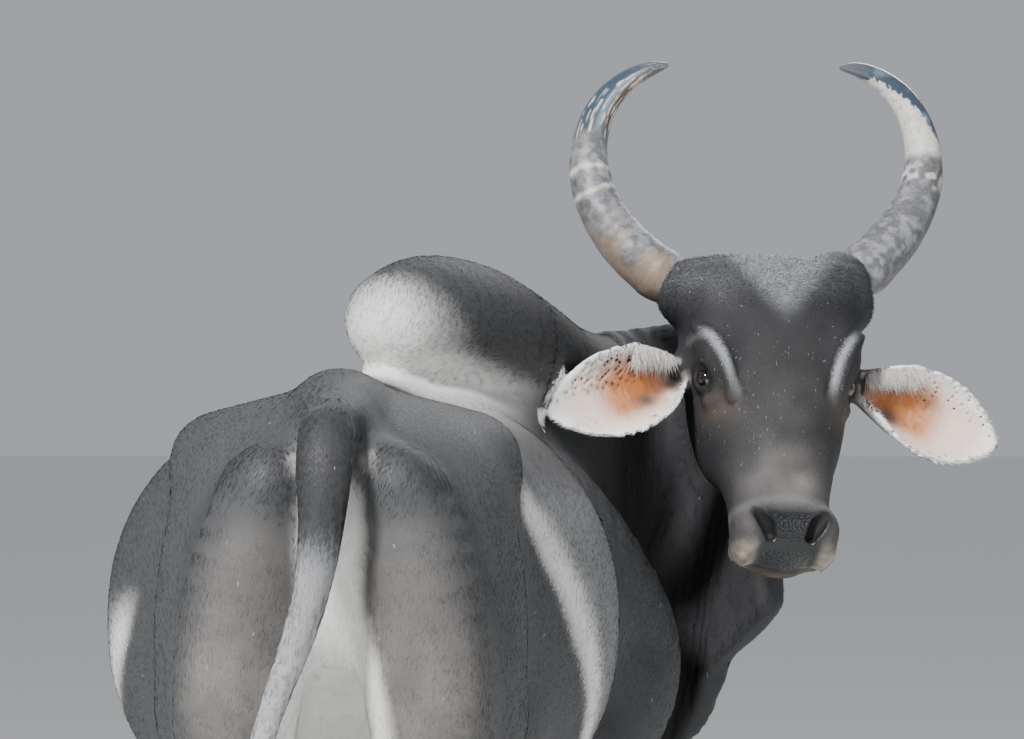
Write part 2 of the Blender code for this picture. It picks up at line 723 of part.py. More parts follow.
def slab(centre, normal, wide, deep, collection, thickness=GAP):
    """A thin box across a limb, which parts what it crosses. Wide and deep are its two long sides."""
    bm = bmesh.new()
    bmesh.ops.create_cube(bm, size=1.0)
    bmesh.ops.scale(bm, vec=(wide, deep, thickness), verts=bm.verts)
    turn = Vector(normal).to_track_quat("Z", "Y").to_matrix().to_4x4()
    bmesh.ops.transform(bm, matrix=Matrix.Translation(centre) @ turn, verts=bm.verts)
    mesh = bpy.data.meshes.new("Slab")
    bm.to_mesh(mesh)
    bm.free()
    made = bpy.data.objects.new("Slab", mesh)
    collection.objects.link(made)
    return made


def loose_parts(thing, collection):
    """The separate bodies of a mesh as objects of their own."""
    bm = bmesh.new()
    bm.from_mesh(thing.data)
    left = set(bm.verts)
    groups = []
    while left:
        front = [left.pop()]
        group = list(front)
        while front:
            reached = []
            for vert in front:
                for edge in vert.link_edges:
                    other = edge.other_vert(vert)
                    if other in left:
                        left.remove(other)
                        reached.append(other)
            group.extend(reached)
            front = reached
        groups.append(group)
    made = []
    for group in groups:
        order = {vert: i for i, vert in enumerate(group)}
        faces = {face for vert in group for face in vert.link_faces}
        points = [vert.co[:] for vert in group]
        rows = [[order[vert] for vert in face.verts] for face in sorted(faces, key=lambda f: f.index)]
        made.append(mesh_object("Part", points, rows, collection))
    bm.free()
    bpy.data.objects.remove(thing)
    return made


def middle(thing):
    co = np.array([v.co[:] for v in thing.data.vertices])
    return (co.min(axis=0) + co.max(axis=0)) / 2


def size_of(thing):
    co = np.array([v.co[:] for v in thing.data.vertices])
    return float(np.prod(co.max(axis=0) - co.min(axis=0)))


def name_parts(parts, places):
    """Gives each part the name of the nearest stated place, largest first, and drops scraps."""
    left = dict(places)
    named = {}
    for part in sorted(parts, key=size_of, reverse=True):
        if not left:
            bpy.data.objects.remove(part)
            continue
        spot = middle(part)
        name = min(left, key=lambda n: float(np.linalg.norm(spot - np.asarray(left[n]))))
        if np.linalg.norm(spot - np.asarray(left[name])) > 0.30:
            bpy.data.objects.remove(part)
            continue
        part.name = name
        part.data.name = name
        named[name] = part
        del left[name]
    return named


# Horns, ears, eyes, claws and switch

def horn_rows(side, grow=0.0):
    """Points and radii along one horn in the head's axes: out, up and in again as a lyre."""
    out, rise, first, whole, late = HORN_CURVES[side]
    turn = math.radians(first)
    sunk = 0.042 + grow
    rows = [(side * (out - sunk * math.cos(turn)), -(rise - sunk * math.sin(turn)), -0.128, 0.037 + grow)]
    steps = 22
    for step in range(steps + 1):
        share = step / steps
        radius = 0.0445 * (1.0 - share) ** 0.58 + 0.004
        depth = -0.135 + 0.010 * share - 0.014 * math.sin(math.pi * share)
        rows.append((side * out, -rise, depth, radius + grow))
        turn = math.radians(first + whole * share**late)
        out += HORN_LENGTH / steps * math.cos(turn)
        rise += HORN_LENGTH / steps * math.sin(turn)
    return rows


def horn(side, collection, grow=0.0):
    """One horn as a tapered curve with its root sunk in the head. Grown, it is the cutter of its socket."""
    rows = horn_rows(side, grow)
    curve = bpy.data.curves.new("Horn", "CURVE")
    curve.dimensions = "3D"
    curve.bevel_depth = 1.0
    curve.bevel_resolution = 3
    curve.use_fill_caps = True
    spline = curve.splines.new("POLY")
    spline.points.add(len(rows) - 1)
    for point, row in zip(spline.points, rows):
        point.co = (*from_head(row[:3]), 1.0)
        point.radius = row[3]
    made = bpy.data.objects.new("Horn", curve)
    collection.objects.link(made)
    return curve_to_mesh(made, collection)


def curve_to_mesh(thing, collection):
    bpy.context.view_layer.update()
    mesh = bpy.data.meshes.new_from_object(thing.evaluated_get(bpy.context.evaluated_depsgraph_get()))
    bm = bmesh.new()
    bm.from_mesh(mesh)
    bmesh.ops.remove_doubles(bm, verts=bm.verts, dist=0.00005)
    bmesh.ops.recalc_face_normals(bm, faces=bm.faces)
    bm.to_mesh(mesh)
    bm.free()
    made = bpy.data.objects.new(thing.name, mesh)
    collection.objects.link(made)
    bpy.data.objects.remove(thing)
    return made


EAR_LENGTHS = {-1: 0.308, 1: 0.288}
EAR_ROOT = (0.150, 0.196, -0.132)
EAR_THICKNESS = 0.007
EAR_SWEEP = {-1: 0.40, 1: -0.06}  # how far each ear is held forward
EAR_FALL = {-1: 0.64, 1: 0.46}  # how far each ear droops
EAR_HALF_WIDTHS = ((0.0, 0.033), (0.15, 0.070), (0.35, 0.096), (0.55, 0.093), (0.75, 0.071), (0.90, 0.041),
                   (1.0, 0.012))


def ear_point(side, share, over):
    """A point of the ear's sheet: share runs from root to tip, over from the upper edge to the lower."""
    along = Vector((side, EAR_FALL[side], EAR_SWEEP[side])).normalized()
    cup = Vector((side * 0.10, 0.22, 1.0))
    cup = (cup - along * cup.dot(along)).normalized()
    down = cup.cross(along) * -side
    shares, widths = zip(*EAR_HALF_WIDTHS)
    half = float(smooth_curve(np.array([share]), shares, widths)[0])
    tight = 125.0 if over < 0 else 78.0
    curl = math.radians(tight * (1.0 - share) ** 1.2 + 22.0)
    angle = over * curl
    radius = half / curl
    droop = 0.030 * share * share
    root = Vector((side * EAR_ROOT[0], EAR_ROOT[1], EAR_ROOT[2]))
    return (root + along * (EAR_LENGTHS[side] * share) + down * (radius * math.sin(angle) + droop)
            + cup * (radius * (1.0 - math.cos(angle)) - 0.014))


EAR_FACE = 0.158  # how far from the head's middle plane the ear meets its stump


def head_box(low, high, collection):
    """A box along the head's own axes."""
    bm = bmesh.new()
    bmesh.ops.create_cube(bm, size=1.0)
    low, high = np.array(low), np.array(high)
    for vert in bm.verts:
        vert.co = Vector(from_head(low + (np.array(vert.co) + 0.5) * (high - low)))
    bmesh.ops.recalc_face_normals(bm, faces=bm.faces)
    return object_from(bm, "Block", collection)


def beside(side, near, far, collection):
    """A box at the ear's root, between two distances from the head's middle plane."""
    low, high = sorted((side * near, side * far))
    return head_box((low, 0.162, -0.180), (high, 0.236, -0.090), collection)


def ear(side, collection):
    """One ear: a curled sheet with its thickness by Solidify, joined to a round root."""
    bm = bmesh.new()
    bmesh.ops.create_grid(bm, x_segments=10, y_segments=9, size=0.5)
    for vert in bm.verts:
        share, over = vert.co.x + 0.5, 2.0 * vert.co.y
        vert.co = Vector(from_head(ear_point(side, share, over)))
    made = object_from(bm, "Ear", collection)
    skin = made.modifiers.new("Skin", "SOLIDIFY")
    skin.thickness = EAR_THICKNESS
    skin.offset = 0.0
    apply_modifiers(made)
    tidy_normals(made)
    bm = bmesh.new()
    bmesh.ops.create_uvsphere(bm, u_segments=12, v_segments=8, radius=0.028)
    bmesh.ops.translate(bm, vec=Vector(from_head((side * 0.162, 0.198, -0.130))), verts=bm.verts)
    combine(made, [object_from(bm, "Root", collection)], "UNION")
    combine(made, [beside(side, EAR_FACE + GAP, 0.05, collection)], "DIFFERENCE")
    return largest(made, "Ear", collection)


def object_from(bm, name, collection):
    """The bmesh as a new object."""
    mesh = bpy.data.meshes.new(name)
    bm.to_mesh(mesh)
    bm.free()
    made = bpy.data.objects.new(name, mesh)
    collection.objects.link(made)
    return made


def tidy_normals(thing):
    bm = bmesh.new()
    bm.from_mesh(thing.data)
    bmesh.ops.recalc_face_normals(bm, faces=bm.faces)
    bm.to_mesh(thing.data)
    bm.free()


def eye(side, collection, grow=0.0):
    bm = bmesh.new()
    bmesh.ops.create_uvsphere(bm, u_segments=14, v_segments=9, radius=EYE_RADIUS + grow)
    place = from_head((side * EYE_PLACE[0], EYE_PLACE[1], EYE_PLACE[2]))
    bmesh.ops.translate(bm, vec=Vector(place), verts=bm.verts)
    return object_from(bm, "Eye", collection)


CLAW_TOP = 0.066


def claw(name, foot, heading, aside, collection):
    """Half a cloven hoof: flat at the sole and the cleft, blunt at the toe, and wider below than above."""
    bm = bmesh.new()
    bmesh.ops.create_cone(bm, cap_ends=True, cap_tris=False, segments=18, radius1=1.0, radius2=1.0,
                          depth=1.0)
    turn = Matrix.Rotation(heading, 4, "Z")
    for vert in bm.verts:
        low = 0.5 - vert.co.z
        across, ahead = (math.copysign(abs(c) ** 0.75, c) for c in vert.co.xy)
        toe, heel = max(0.0, ahead), max(0.0, -ahead)
        x = 0.0215 * across * (1.0 - 0.38 * toe * toe) * (0.90 + 0.22 * low)
        x = max(x, -0.0195) if aside > 0 else min(x, 0.0195)
        y = (0.043 + 0.015 * low) * ahead + 0.020 * low * toe - 0.006 * (1.0 - low) * heel
        spot = turn @ Vector((x + aside * 0.0222, y + 0.004, 0.0))
        vert.co = Vector((foot[0] + spot.x, foot[1] + spot.y, (1.0 - low) * CLAW_TOP))
    bmesh.ops.recalc_face_normals(bm, faces=bm.faces)
    return object_from(bm, name, collection)


SWITCH_TOP = TAIL_BONE_END + 0.035
SWITCH_LENGTH = 0.36
SWITCH_LOCKS = 26


def lock(root, out, length, wide, sway, collection):
    """A flat tapered lock that leaves the tail's bone, bends and hangs."""
    rings, sides = 5, 4
    bm = bmesh.new()
    out = Vector(out).normalized()
    flat = Vector((0, 0, 1)).cross(out).normalized()
    previous = None
    for ring in range(rings):
        share = ring / rings
        swell = math.sin(math.pi * min(1.0, 0.28 + 0.72 * share))
        half = wide * (0.35 + 0.65 * swell)
        spread = 0.020 * math.sin(math.pi * 0.5 * min(1.0, share * 1.6)) - 0.012 * share
        centre = root + out * (spread + sway * share**2) - Vector((0, 0, length * share))
        verts = []
        for side in range(sides):
            angle = math.tau * (side + 0.5) / sides
            off = flat * (half * math.cos(angle)) + out * (0.42 * half * math.sin(angle))
            verts.append(bm.verts.new(centre + off))
        if previous:
            for i in range(sides):
                bm.faces.new((previous[i], previous[(i + 1) % sides], verts[(i + 1) % sides], verts[i]))
        else:
            bm.faces.new(verts[::-1])
        previous = verts
    tip = bm.verts.new(root + out * (0.006 + sway) - Vector((0, 0, length)))
    for i in range(sides):
        bm.faces.new((previous[i], previous[(i + 1) % sides], tip))
    bmesh.ops.recalc_face_normals(bm, faces=bm.faces)
    return object_from(bm, "Lock", collection)


def switch(collection):
    """The tuft at the tail's end: locks in three tiers round a core that goes half way down."""
    draw = np.random.default_rng(7)
    end = Vector(TAIL_ROWS[-1][:3])
    bm = bmesh.new()
    bmesh.ops.create_cone(bm, cap_ends=True, segments=10, radius1=0.006, radius2=0.0165, depth=0.17)
    bmesh.ops.translate(bm, vec=end + Vector((0, 0, SWITCH_TOP - TAIL_BONE_END - 0.085)), verts=bm.verts)
    core = object_from(bm, "Core", collection)
    locks = []
    for i in range(SWITCH_LOCKS):
        tier = i % 3
        angle = i * math.radians(137.5)
        out = Vector((math.cos(angle), math.sin(angle), 0))
        top = SWITCH_TOP - 0.014 - 0.034 * tier
        root = Vector((end.x, end.y, top)) + out * (0.006 - 0.001 * tier)
        length = SWITCH_LENGTH * (0.62 + 0.16 * tier) * draw.uniform(0.9, 1.05)
        wide, sway = draw.uniform(0.011, 0.015), draw.uniform(-0.004, 0.012)
        locks.append(lock(root, out, length, wide, sway, collection))
    combine(core, locks, "UNION")
    return largest(core, "tail_switch", collection)


# Looks of the plain solids

def material(name, colour, roughness):
    made = bpy.data.materials.new(name)
    made.use_nodes = True
    shader = made.node_tree.nodes["Principled BSDF"]
    shader.inputs["Base Color"].default_value = (*colour, 1.0)
    shader.inputs["Roughness"].default_value = roughness
    shader.inputs["Metallic"].default_value = 0.0
    made.diffuse_color = (*colour, 1.0)
    return made


COAT_DARK, COAT_SILVER, EAR_SKIN = (0.10, 0.10, 0.105), (0.42, 0.42, 0.42), (0.60, 0.45, 0.38)
HORN_GREY, HOOF_BLACK = (0.28, 0.28, 0.28), (0.03, 0.03, 0.03)
EYE_BROWN, HAIR_BLACK = (0.02, 0.012, 0.01), (0.02, 0.02, 0.02)


def finish(pieces):
    """One material for each piece, smooth shading with the cut edges kept sharp."""
    for name, piece in pieces.items():
        if name.startswith("eye"):
            colour, roughness = EYE_BROWN, 0.1
        elif name.startswith("horn"):
            colour, roughness = HORN_GREY, 0.45
        elif name.startswith("claw"):
            colour, roughness = HOOF_BLACK, 0.5
        elif name.startswith("ear"):
            colour, roughness = EAR_SKIN, 0.7
        elif name == "tail_switch":
            colour, roughness = HAIR_BLACK, 0.6
        elif name in ("torso", "scrotum", "sheath"):
            colour, roughness = COAT_SILVER, 0.75
        else:
            colour, roughness = COAT_DARK, 0.75
        piece.data.materials.clear()
        piece.data.materials.append(material(name, colour, roughness))
        piece.data.shade_smooth()
        piece.data.set_sharp_from_angle(angle=math.radians(50))


# Putting the bull together

# The head is parted from the neck by a wedge given in the head's own poll-to-muzzle and outward directions
HEAD_WEDGE = ((-0.14, -0.165), (0.32, -0.272), (0.68, -0.140), (0.68, 0.16), (-0.14, 0.16))
HEAD_WEDGE_HALF = 0.22
NECK_FACE = (0.352, 0.790, 0.98)
NECK_NORMAL = (0.55, 0.76, 0.35)
HUMP_FACE = (0.180, 0.340, 1.460)
HUMP_END = (0.318, 0.668, 1.45)
TAIL_FACE = (-0.003, -0.893, 1.352)
TAIL_NORMAL = (0.0, 0.55, 0.83)
TAIL_JOINT = (-0.062, -0.927, 1.010)


def wedge(grow, collection):
    """The prism round the head, pushed out by grow on the side that meets the neck."""
    bm = bmesh.new()
    points = [np.array(p) for p in HEAD_WEDGE]
    sides = []
    for across in (-HEAD_WEDGE_HALF, HEAD_WEDGE_HALF):
        sides.append([bm.verts.new(from_head((across, u, v - grow))) for u, v in points])
    bm.faces.new(sides[0])
    bm.faces.new(sides[1][::-1])
    for i in range(len(points)):
        j = (i + 1) % len(points)
        bm.faces.new((sides[0][i], sides[1][i], sides[1][j], sides[0][j]))
    bmesh.ops.recalc_face_normals(bm, faces=bm.faces)
    return object_from(bm, "Wedge", collection)


def block(face, normal, size, side_way, collection, grow=0.0):
    """A box that stands on a plane through the face point and reaches along the normal by size[2]."""
    up = Vector(normal).normalized()
    across = Vector(side_way) - up * up.dot(Vector(side_way))
    across.normalize()
    ahead = up.cross(across)
    bm = bmesh.new()
    bmesh.ops.create_cube(bm, size=1.0)
    deep = size[2] + grow
    turn = Matrix((across, ahead, up)).transposed().to_4x4()
    shift = Matrix.Translation(Vector(face) + up * (deep / 2 - grow))
    bmesh.ops.transform(bm, matrix=shift @ turn @ Matrix.Diagonal((size[0], size[1], deep, 1.0)),
                        verts=bm.verts)
    return object_from(bm, "Block", collection)


def hump_block(grow, collection):
    """The box round the hump: its floor lies under the overhang, its front end across the crest."""
    ahead = Vector((0.44, 0.898, 0.0)).normalized()
    side = ahead.cross(Vector((0, 0, 1))).normalized()
    up = Vector((0, 0, 1))
    front = (Vector(HUMP_END) - Vector(HUMP_FACE)).dot(ahead) + grow
    back, tall, half = -0.42, 0.30, 0.26
    bm = bmesh.new()
    bmesh.ops.create_cube(bm, size=1.0)
    for vert in bm.verts:
        x = half * 2 * vert.co.x
        y = front if vert.co.y > 0 else back
        z = tall if vert.co.z > 0 else -grow
        vert.co = Vector(HUMP_FACE) + side * x + ahead * y + up * z
    bmesh.ops.recalc_face_normals(bm, faces=bm.faces)
    return object_from(bm, "Block", collection)


def copy_of(thing, name, collection):
    made = bpy.data.objects.new(name, thing.data.copy())
    collection.objects.link(made)
    return made


def largest(thing, name, collection):
    """The largest closed body of a mesh, under the name."""
    parts = sorted(loose_parts(thing, collection), key=size_of)
    for scrap in parts[:-1]:
        bpy.data.objects.remove(scrap)
    parts[-1].name = name
    parts[-1].data.name = name
    return parts[-1]


def part_off(body, cutter, name, collection, source=None):
    """Splits a piece off the body. The cutter is a function of its growth, which leaves the gap."""
    piece = copy_of(source or body, name, collection)
    combine(piece, [cutter(0.0, collection)], "INTERSECT")
    combine(body, [cutter(GAP, collection)], "DIFFERENCE")
    return largest(piece, name, collection)


def tail_flesh():
    flesh = Flesh()
    flesh.add("world", limb(TAIL_ROWS, toward=TAIL_DEEP), 0.02)
    return flesh


def leg_point(rows, height):
    """The middle of a leg at a height, from its rows."""
    dense = through(rows, 24)
    return dense[np.argmin(np.abs(dense[:, 2] - height))][:3]


# Level cuts across each leg: height, and how wide and deep the slab is
LEG_CUTS = {
    "fore": ((0.585, 0.19, 0.26), (0.40, 0.16, 0.22)),
    "hind": ((0.66, 0.23, 0.40), (0.49, 0.16, 0.22)),
}


def parted_body(collection):
    """The flesh as named pieces."""
    flesh = bull_flesh()
    pieces = {}
    body = meshed("Body", flesh, (-0.50, -1.02, 0.02), (1.0, 1.20, 1.75), BODY_STEP, BODY_TRIANGLES,
                  collection)
    fine = meshed("Fine", flesh, (0.38, 0.24, 0.95), (1.02, 1.10, 1.80), HEAD_STEP, HEAD_TRIANGLES,
                  collection)
    tail = meshed("Tail", tail_flesh(), (-0.20, -1.00, 0.62), (0.08, -0.66, 1.46), 0.008, 900, collection)

    pieces["head"] = part_off(body, wedge, "head", collection, source=fine)
    bpy.data.objects.remove(fine)
    pieces["neck"] = part_off(
        body, lambda grow, into: block(NECK_FACE, NECK_NORMAL, (1.6, 1.6, 0.7), (0, 0, 1), into, grow),
        "neck", collection)
    pieces["hump"] = part_off(body, hump_block, "hump", collection)

    above = block(TAIL_FACE, TAIL_NORMAL, (0.40, 0.80, 0.60), (1, 0, 0), collection)
    under = block((0, 0, SWITCH_TOP + GAP), (0, 0, -1), (3, 3, 0.3), (1, 0, 0), collection)
    combine(tail, [above, under], "DIFFERENCE")
    stub = block(Vector(TAIL_FACE) + GAP * Vector(TAIL_NORMAL), -Vector(TAIL_NORMAL), (0.14, 0.090, 0.10),
                 (1, 0, 0), collection)
    floor = block((0, 0, CLAW_TOP + GAP), (0, 0, -1), (3, 3, 0.3), (1, 0, 0), collection)
    combine(body, [stub, floor], "DIFFERENCE")

    slabs = [
        slab((0, -0.478, 0.725), (0, 0, 1), 0.18, 0.16, collection),
        slab((0, -0.02, 0.640), (0, 0, 1), 0.20, 0.34, collection),
    ]
    places = {"torso": (0.05, -0.05, 1.0), "scrotum": (0, -0.48, 0.62), "sheath": (0.0, 0.05, 0.60)}
    for side, hand in ((-1, "left"), (1, "right")):
        for end, rows in (("fore", fore_leg_rows(side)), ("hind", hind_leg_rows(side))):
            for height, wide, deep in LEG_CUTS[end]:
                x, y, _ = leg_point(rows, height)
                slabs.append(slab((x, y, height), (0, 0, 1), wide, deep, collection))
            high, low = (cut[0] for cut in LEG_CUTS[end])
            places[f"{end}leg_{hand}_upper"] = leg_point(rows, (high + low) / 2)
            places[f"{end}leg_{hand}_lower"] = leg_point(rows, low / 2)
    combine(body, slabs, "DIFFERENCE")
    pieces.update(name_parts(loose_parts(body, collection), places))

    tail_cut = slab(TAIL_JOINT, (-0.33, 0.0, 0.94), 0.10, 0.10, collection)
    combine(tail, [tail_cut], "DIFFERENCE")
    tail_parts = sorted(loose_parts(tail, collection), key=lambda part: -middle(part)[2])
    for part, name in zip(tail_parts, ("tail_base", "tail_lower")):
        part.name = name
        pieces[name] = part
    return pieces


def build():
    for thing in list(bpy.data.objects):
        bpy.data.objects.remove(thing)
    bull = bpy.data.collections.new("Zebu_bull")
    bpy.context.scene.collection.children.link(bull)
    pieces = parted_body(bull)
    head = pieces["head"]
    sockets = []
    for side, hand in ((-1, "right"), (1, "left")):
        for kind, make in (("horn", horn), ("eye", eye)):
            pieces[f"{kind}_{hand}"] = make(side, bull)
            sockets.append(make(side, bull, GAP))
        pieces[f"ear_{hand}"] = ear(side, bull)
        sockets.append(beside(side, EAR_FACE, 0.26, bull))
    for socket in sockets:
        combine(head, [socket], "DIFFERENCE")
    pieces["head"] = largest(head, "head", bull)
    for side, hand in ((-1, "left"), (1, "right")):
        legs = (("fore", fore_leg_rows(side), FORE_HEADING), ("hind", hind_leg_rows(side), 0.0))
        for end, rows, heading in legs:
            foot = leg_point(rows, CLAW_TOP)
            for aside in (-1, 1):
                place = "outer" if aside == side else "inner"
                name = f"claw_{end}_{hand}_{place}"
                pieces[name] = claw(name, foot, heading, aside, bull)
    pieces["tail_switch"] = switch(bull)
    for name, piece in pieces.items():
        piece.name = name
        piece.data.name = name
    finish(pieces)
    low = np.min([np.array(v.co) for p in pieces.values() for v in p.data.vertices], axis=0)
    high = np.max([np.array(v.co) for p in pieces.values() for v in p.data.vertices], axis=0)
    shift = Vector((-(low[0] + high[0]) / 2, -(low[1] + high[1]) / 2, -low[2]))
    for piece in pieces.values():
        piece.data.transform(Matrix.Translation(shift))


build()
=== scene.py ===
"""The looks of a life-size grey zebu bull that looks back over its right side.

One skin repeats the part's forms at a finer step, with its lids, nostrils, folds and wrinkles, and
carries the markings. A coat of short tufts lies over it. Horns, eyes, lashes, hooves and the switch are
pieces of their own. The bull is made in the frame of its source, where the hips stand over the origin,
and then moved into the row's.
"""

import math
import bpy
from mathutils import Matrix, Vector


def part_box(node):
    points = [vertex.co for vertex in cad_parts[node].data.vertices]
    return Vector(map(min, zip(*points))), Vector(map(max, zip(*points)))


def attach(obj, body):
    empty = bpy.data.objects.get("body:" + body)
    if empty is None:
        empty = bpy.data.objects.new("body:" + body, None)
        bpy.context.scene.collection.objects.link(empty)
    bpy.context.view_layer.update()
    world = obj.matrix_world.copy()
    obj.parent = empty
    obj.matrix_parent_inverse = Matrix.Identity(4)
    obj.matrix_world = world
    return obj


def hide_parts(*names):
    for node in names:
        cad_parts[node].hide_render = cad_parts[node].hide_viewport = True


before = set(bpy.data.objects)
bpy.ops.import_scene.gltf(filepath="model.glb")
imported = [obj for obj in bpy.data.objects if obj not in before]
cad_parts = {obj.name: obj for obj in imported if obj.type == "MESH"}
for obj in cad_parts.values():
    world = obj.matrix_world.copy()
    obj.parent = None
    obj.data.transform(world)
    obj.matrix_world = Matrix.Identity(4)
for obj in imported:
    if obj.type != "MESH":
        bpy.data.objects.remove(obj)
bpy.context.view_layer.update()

from concurrent.futures import ThreadPoolExecutor

import bmesh
import bpy
import numpy as np
from mathutils import Matrix, Vector

# Driving sizes, the same as the part's
RUMP_HEIGHT = 1.455
CHEST_DEPTH = 0.80
BARREL_HALF_WIDTH = 0.425
HEAD_LENGTH = 0.572
HORN_LENGTH = 0.51
TAIL_BONE_END = 0.66
BEND_START, BEND_RATE, BEND_END = -0.10, 0.44, 0.80
POLL = np.array((0.718, 0.58, 1.672))
FACE_YAW, FACE_TIP, FACE_LEAN = math.radians(16.0), math.radians(20.0), math.radians(4.0)

# Steps of the skin's mesh, and how far a form is felt
BODY_STEP = 0.0190
HEAD_STEP = 0.0061
FAR = 0.6
REACH = 0.12
COARSE = 4
SHARE = 12000  # points worked out together


# Field maths

def smooth_min(a, b, blend):
    """The lower of two distances, rounded over where they are within the blend of each other."""
    share = np.clip(0.5 + 0.5 * (b - a) / blend, 0.0, 1.0)
    return b * (1.0 - share) + a * share - blend * share * (1.0 - share)


def smooth_curve(x, knots, values):
    """A cubic through the knots that doesn't overshoot where they rise and fall."""
    knots = np.asarray(knots, float)
    values = np.asarray(values, float)
    slopes = np.gradient(values, knots)
    rises = np.diff(values) / np.diff(knots)
    flat = np.zeros(len(values), bool)
    flat[1:-1] = rises[1:] * rises[:-1] <= 0
    slopes[flat] = 0.0
    x = np.clip(x, knots[0], knots[-1])
    i = np.clip(np.searchsorted(knots, x, side="right") - 1, 0, len(knots) - 2)
    span = knots[i + 1] - knots[i]
    t = (x - knots[i]) / span
    return (
        values[i] * (1 + 2 * t) * (1 - t) ** 2
        + slopes[i] * span * t * (1 - t) ** 2
        + values[i + 1] * t * t * (3 - 2 * t)
        + slopes[i + 1] * span * t * t * (t - 1)
    )


def through(stations, steps=4):
    """Rows of numbers made denser along a Catmull-Rom curve through them."""
    rows = np.asarray(stations, float)
    ends = np.vstack([2 * rows[0] - rows[1], rows, 2 * rows[-1] - rows[-2]])
    dense = []
    for i in range(1, len(ends) - 2):
        a, b, c, d = ends[i - 1:i + 3]
        for t in np.arange(steps) / steps:
            dense.append(0.5 * (2 * b + (c - a) * t + (2 * a - 5 * b + 4 * c - d) * t**2
                                + (3 * b - a - 3 * c + d) * t**3))
    dense.append(rows[-1])
    return np.array(dense)


def turned(tilt=0.0, heading=0.0):
    """A 3 by 3 turn: tilt about X, then heading about Z, in degrees."""
    return np.array(Matrix.Rotation(math.radians(heading), 3, "Z")
                    @ Matrix.Rotation(math.radians(tilt), 3, "X"))


# Forms: each returns (distance function, low corner, high corner)

def ellipsoid(centre, radii, tilt=0.0, heading=0.0):
    centre = np.asarray(centre, float)
    radii = np.asarray(radii, float)
    turn = turned(tilt, heading)

    def distance(p):
        q = (p - centre) @ turn / radii
        near = np.linalg.norm(q, axis=1)
        steep = np.linalg.norm(q / radii, axis=1)
        return near * (near - 1.0) / np.maximum(steep, 1e-6)

    return distance, centre - radii.max(), centre + radii.max()


def limb(stations, toward=(0.0, 1.0, 0.0)):
    """A tube through rows of x, y, z, half width and half depth. Depth is measured along toward."""
    rows = through(stations)
    toward = np.asarray(toward, float)

    def distance(p):
        best = np.full(len(p), FAR)
        for a, b in zip(rows[:-1], rows[1:]):
            reach = max(a[3:].max(), b[3:].max()) + REACH
            low, high = np.minimum(a[:3], b[:3]) - reach, np.maximum(a[:3], b[:3]) + reach
            near = np.all((p > low) & (p < high), axis=1)
            if not near.any():
                continue
            run = b[:3] - a[:3]
            length = np.linalg.norm(run)
            along = run / length
            deep = toward - along * (toward @ along)
            deep /= np.linalg.norm(deep)
            wide = np.cross(along, deep)
            q = p[near] - a[:3]
            t = np.clip(q @ along / length, 0.0, 1.0)
            q = q - t[:, None] * run
            half_wide = a[3] + t * (b[3] - a[3])
            half_deep = a[4] + t * (b[4] - a[4])
            least = np.minimum(half_wide, half_deep)
            across = np.stack([q @ wide / half_wide, q @ deep / half_deep, q @ along / least], axis=1)
            size = np.linalg.norm(across, axis=1)
            scale = np.stack([half_wide, half_deep, least], axis=1)
            steep = np.linalg.norm(across / scale, axis=1)
            best[near] = np.minimum(best[near], size * (size - 1.0) / np.maximum(steep, 1e-6))
        return best

    reach = rows[:, 3:].max()
    return distance, rows[:, :3].min(axis=0) - reach, rows[:, :3].max(axis=0) + reach


def loft(stations):
    """A long form with rows of place along Y, half width, top, bottom and squareness."""
    rows = np.asarray(stations, float)
    start, end = rows[0, 0], rows[-1, 0]

    def distance(p):
        wide, top, bottom, power = (
            smooth_curve(p[:, 1], rows[:, 0], rows[:, column]) for column in range(1, 5)
        )
        half = np.maximum((top - bottom) / 2, 0.004)
        wide = np.maximum(wide, 0.004)
        across = np.abs(p[:, 0]) / wide
        upright = np.abs(p[:, 2] - (top + bottom) / 2) / half
        near = (across**power + upright**power) ** (1.0 / power)
        inside = (near - 1.0) * np.minimum(wide, half)
        beyond = np.maximum(np.maximum(start - p[:, 1], p[:, 1] - end), 0.0)
        return np.where(beyond > 0, np.hypot(np.maximum(inside, 0.0), beyond), inside)

    reach = rows[:, 1].max()
    low = np.array((-reach, start, rows[:, 3].min()))
    high = np.array((reach, end, rows[:, 2].max()))
    return distance, low, high


def curtain(stations, rounding=0.022):
    """A hanging sheet along rows of x and y above, x and y below, lower edge, upper edge, half thickness."""
    rows = through(stations)

    def path(row, height):
        down = np.clip((row[5] - height) / (row[5] - row[4]), 0.0, 1.0)[:, None]
        return row[:2] + down * (row[2:4] - row[:2])

    def distance(p):
        best = np.full(len(p), FAR)
        for a, b in zip(rows[:-1], rows[1:]):
            start = path(a, p[:, 2])
            run = path(b, p[:, 2]) - start
            off = p[:, :2] - start
            beyond = np.clip(np.sum(off * run, axis=1) / np.sum(run * run, axis=1), -2.0, 3.0)
            t = np.clip(beyond, 0.0, 1.0)
            off = np.linalg.norm(off - t[:, None] * run, axis=1)
            lower, upper, half = (a[i] + beyond * (b[i] - a[i]) for i in (4, 5, 6))
            wide = off - half + rounding
            tall = np.maximum(lower + rounding - p[:, 2], p[:, 2] - upper + rounding)
            outside = np.hypot(np.maximum(wide, 0.0), np.maximum(tall, 0.0))
            best = np.minimum(best, outside + np.minimum(np.maximum(wide, tall), 0.0) - rounding)
        return best

    low = np.array((rows[:, [0, 2]].min() - 0.05, rows[:, [1, 3]].min() - 0.05, rows[:, 4].min()))
    high = np.array((rows[:, [0, 2]].max() + 0.05, rows[:, [1, 3]].max() + 0.05, rows[:, 5].max()))
    return distance, low, high


# Spaces: the trunk is modelled straight and mirrored, the head upright and mirrored

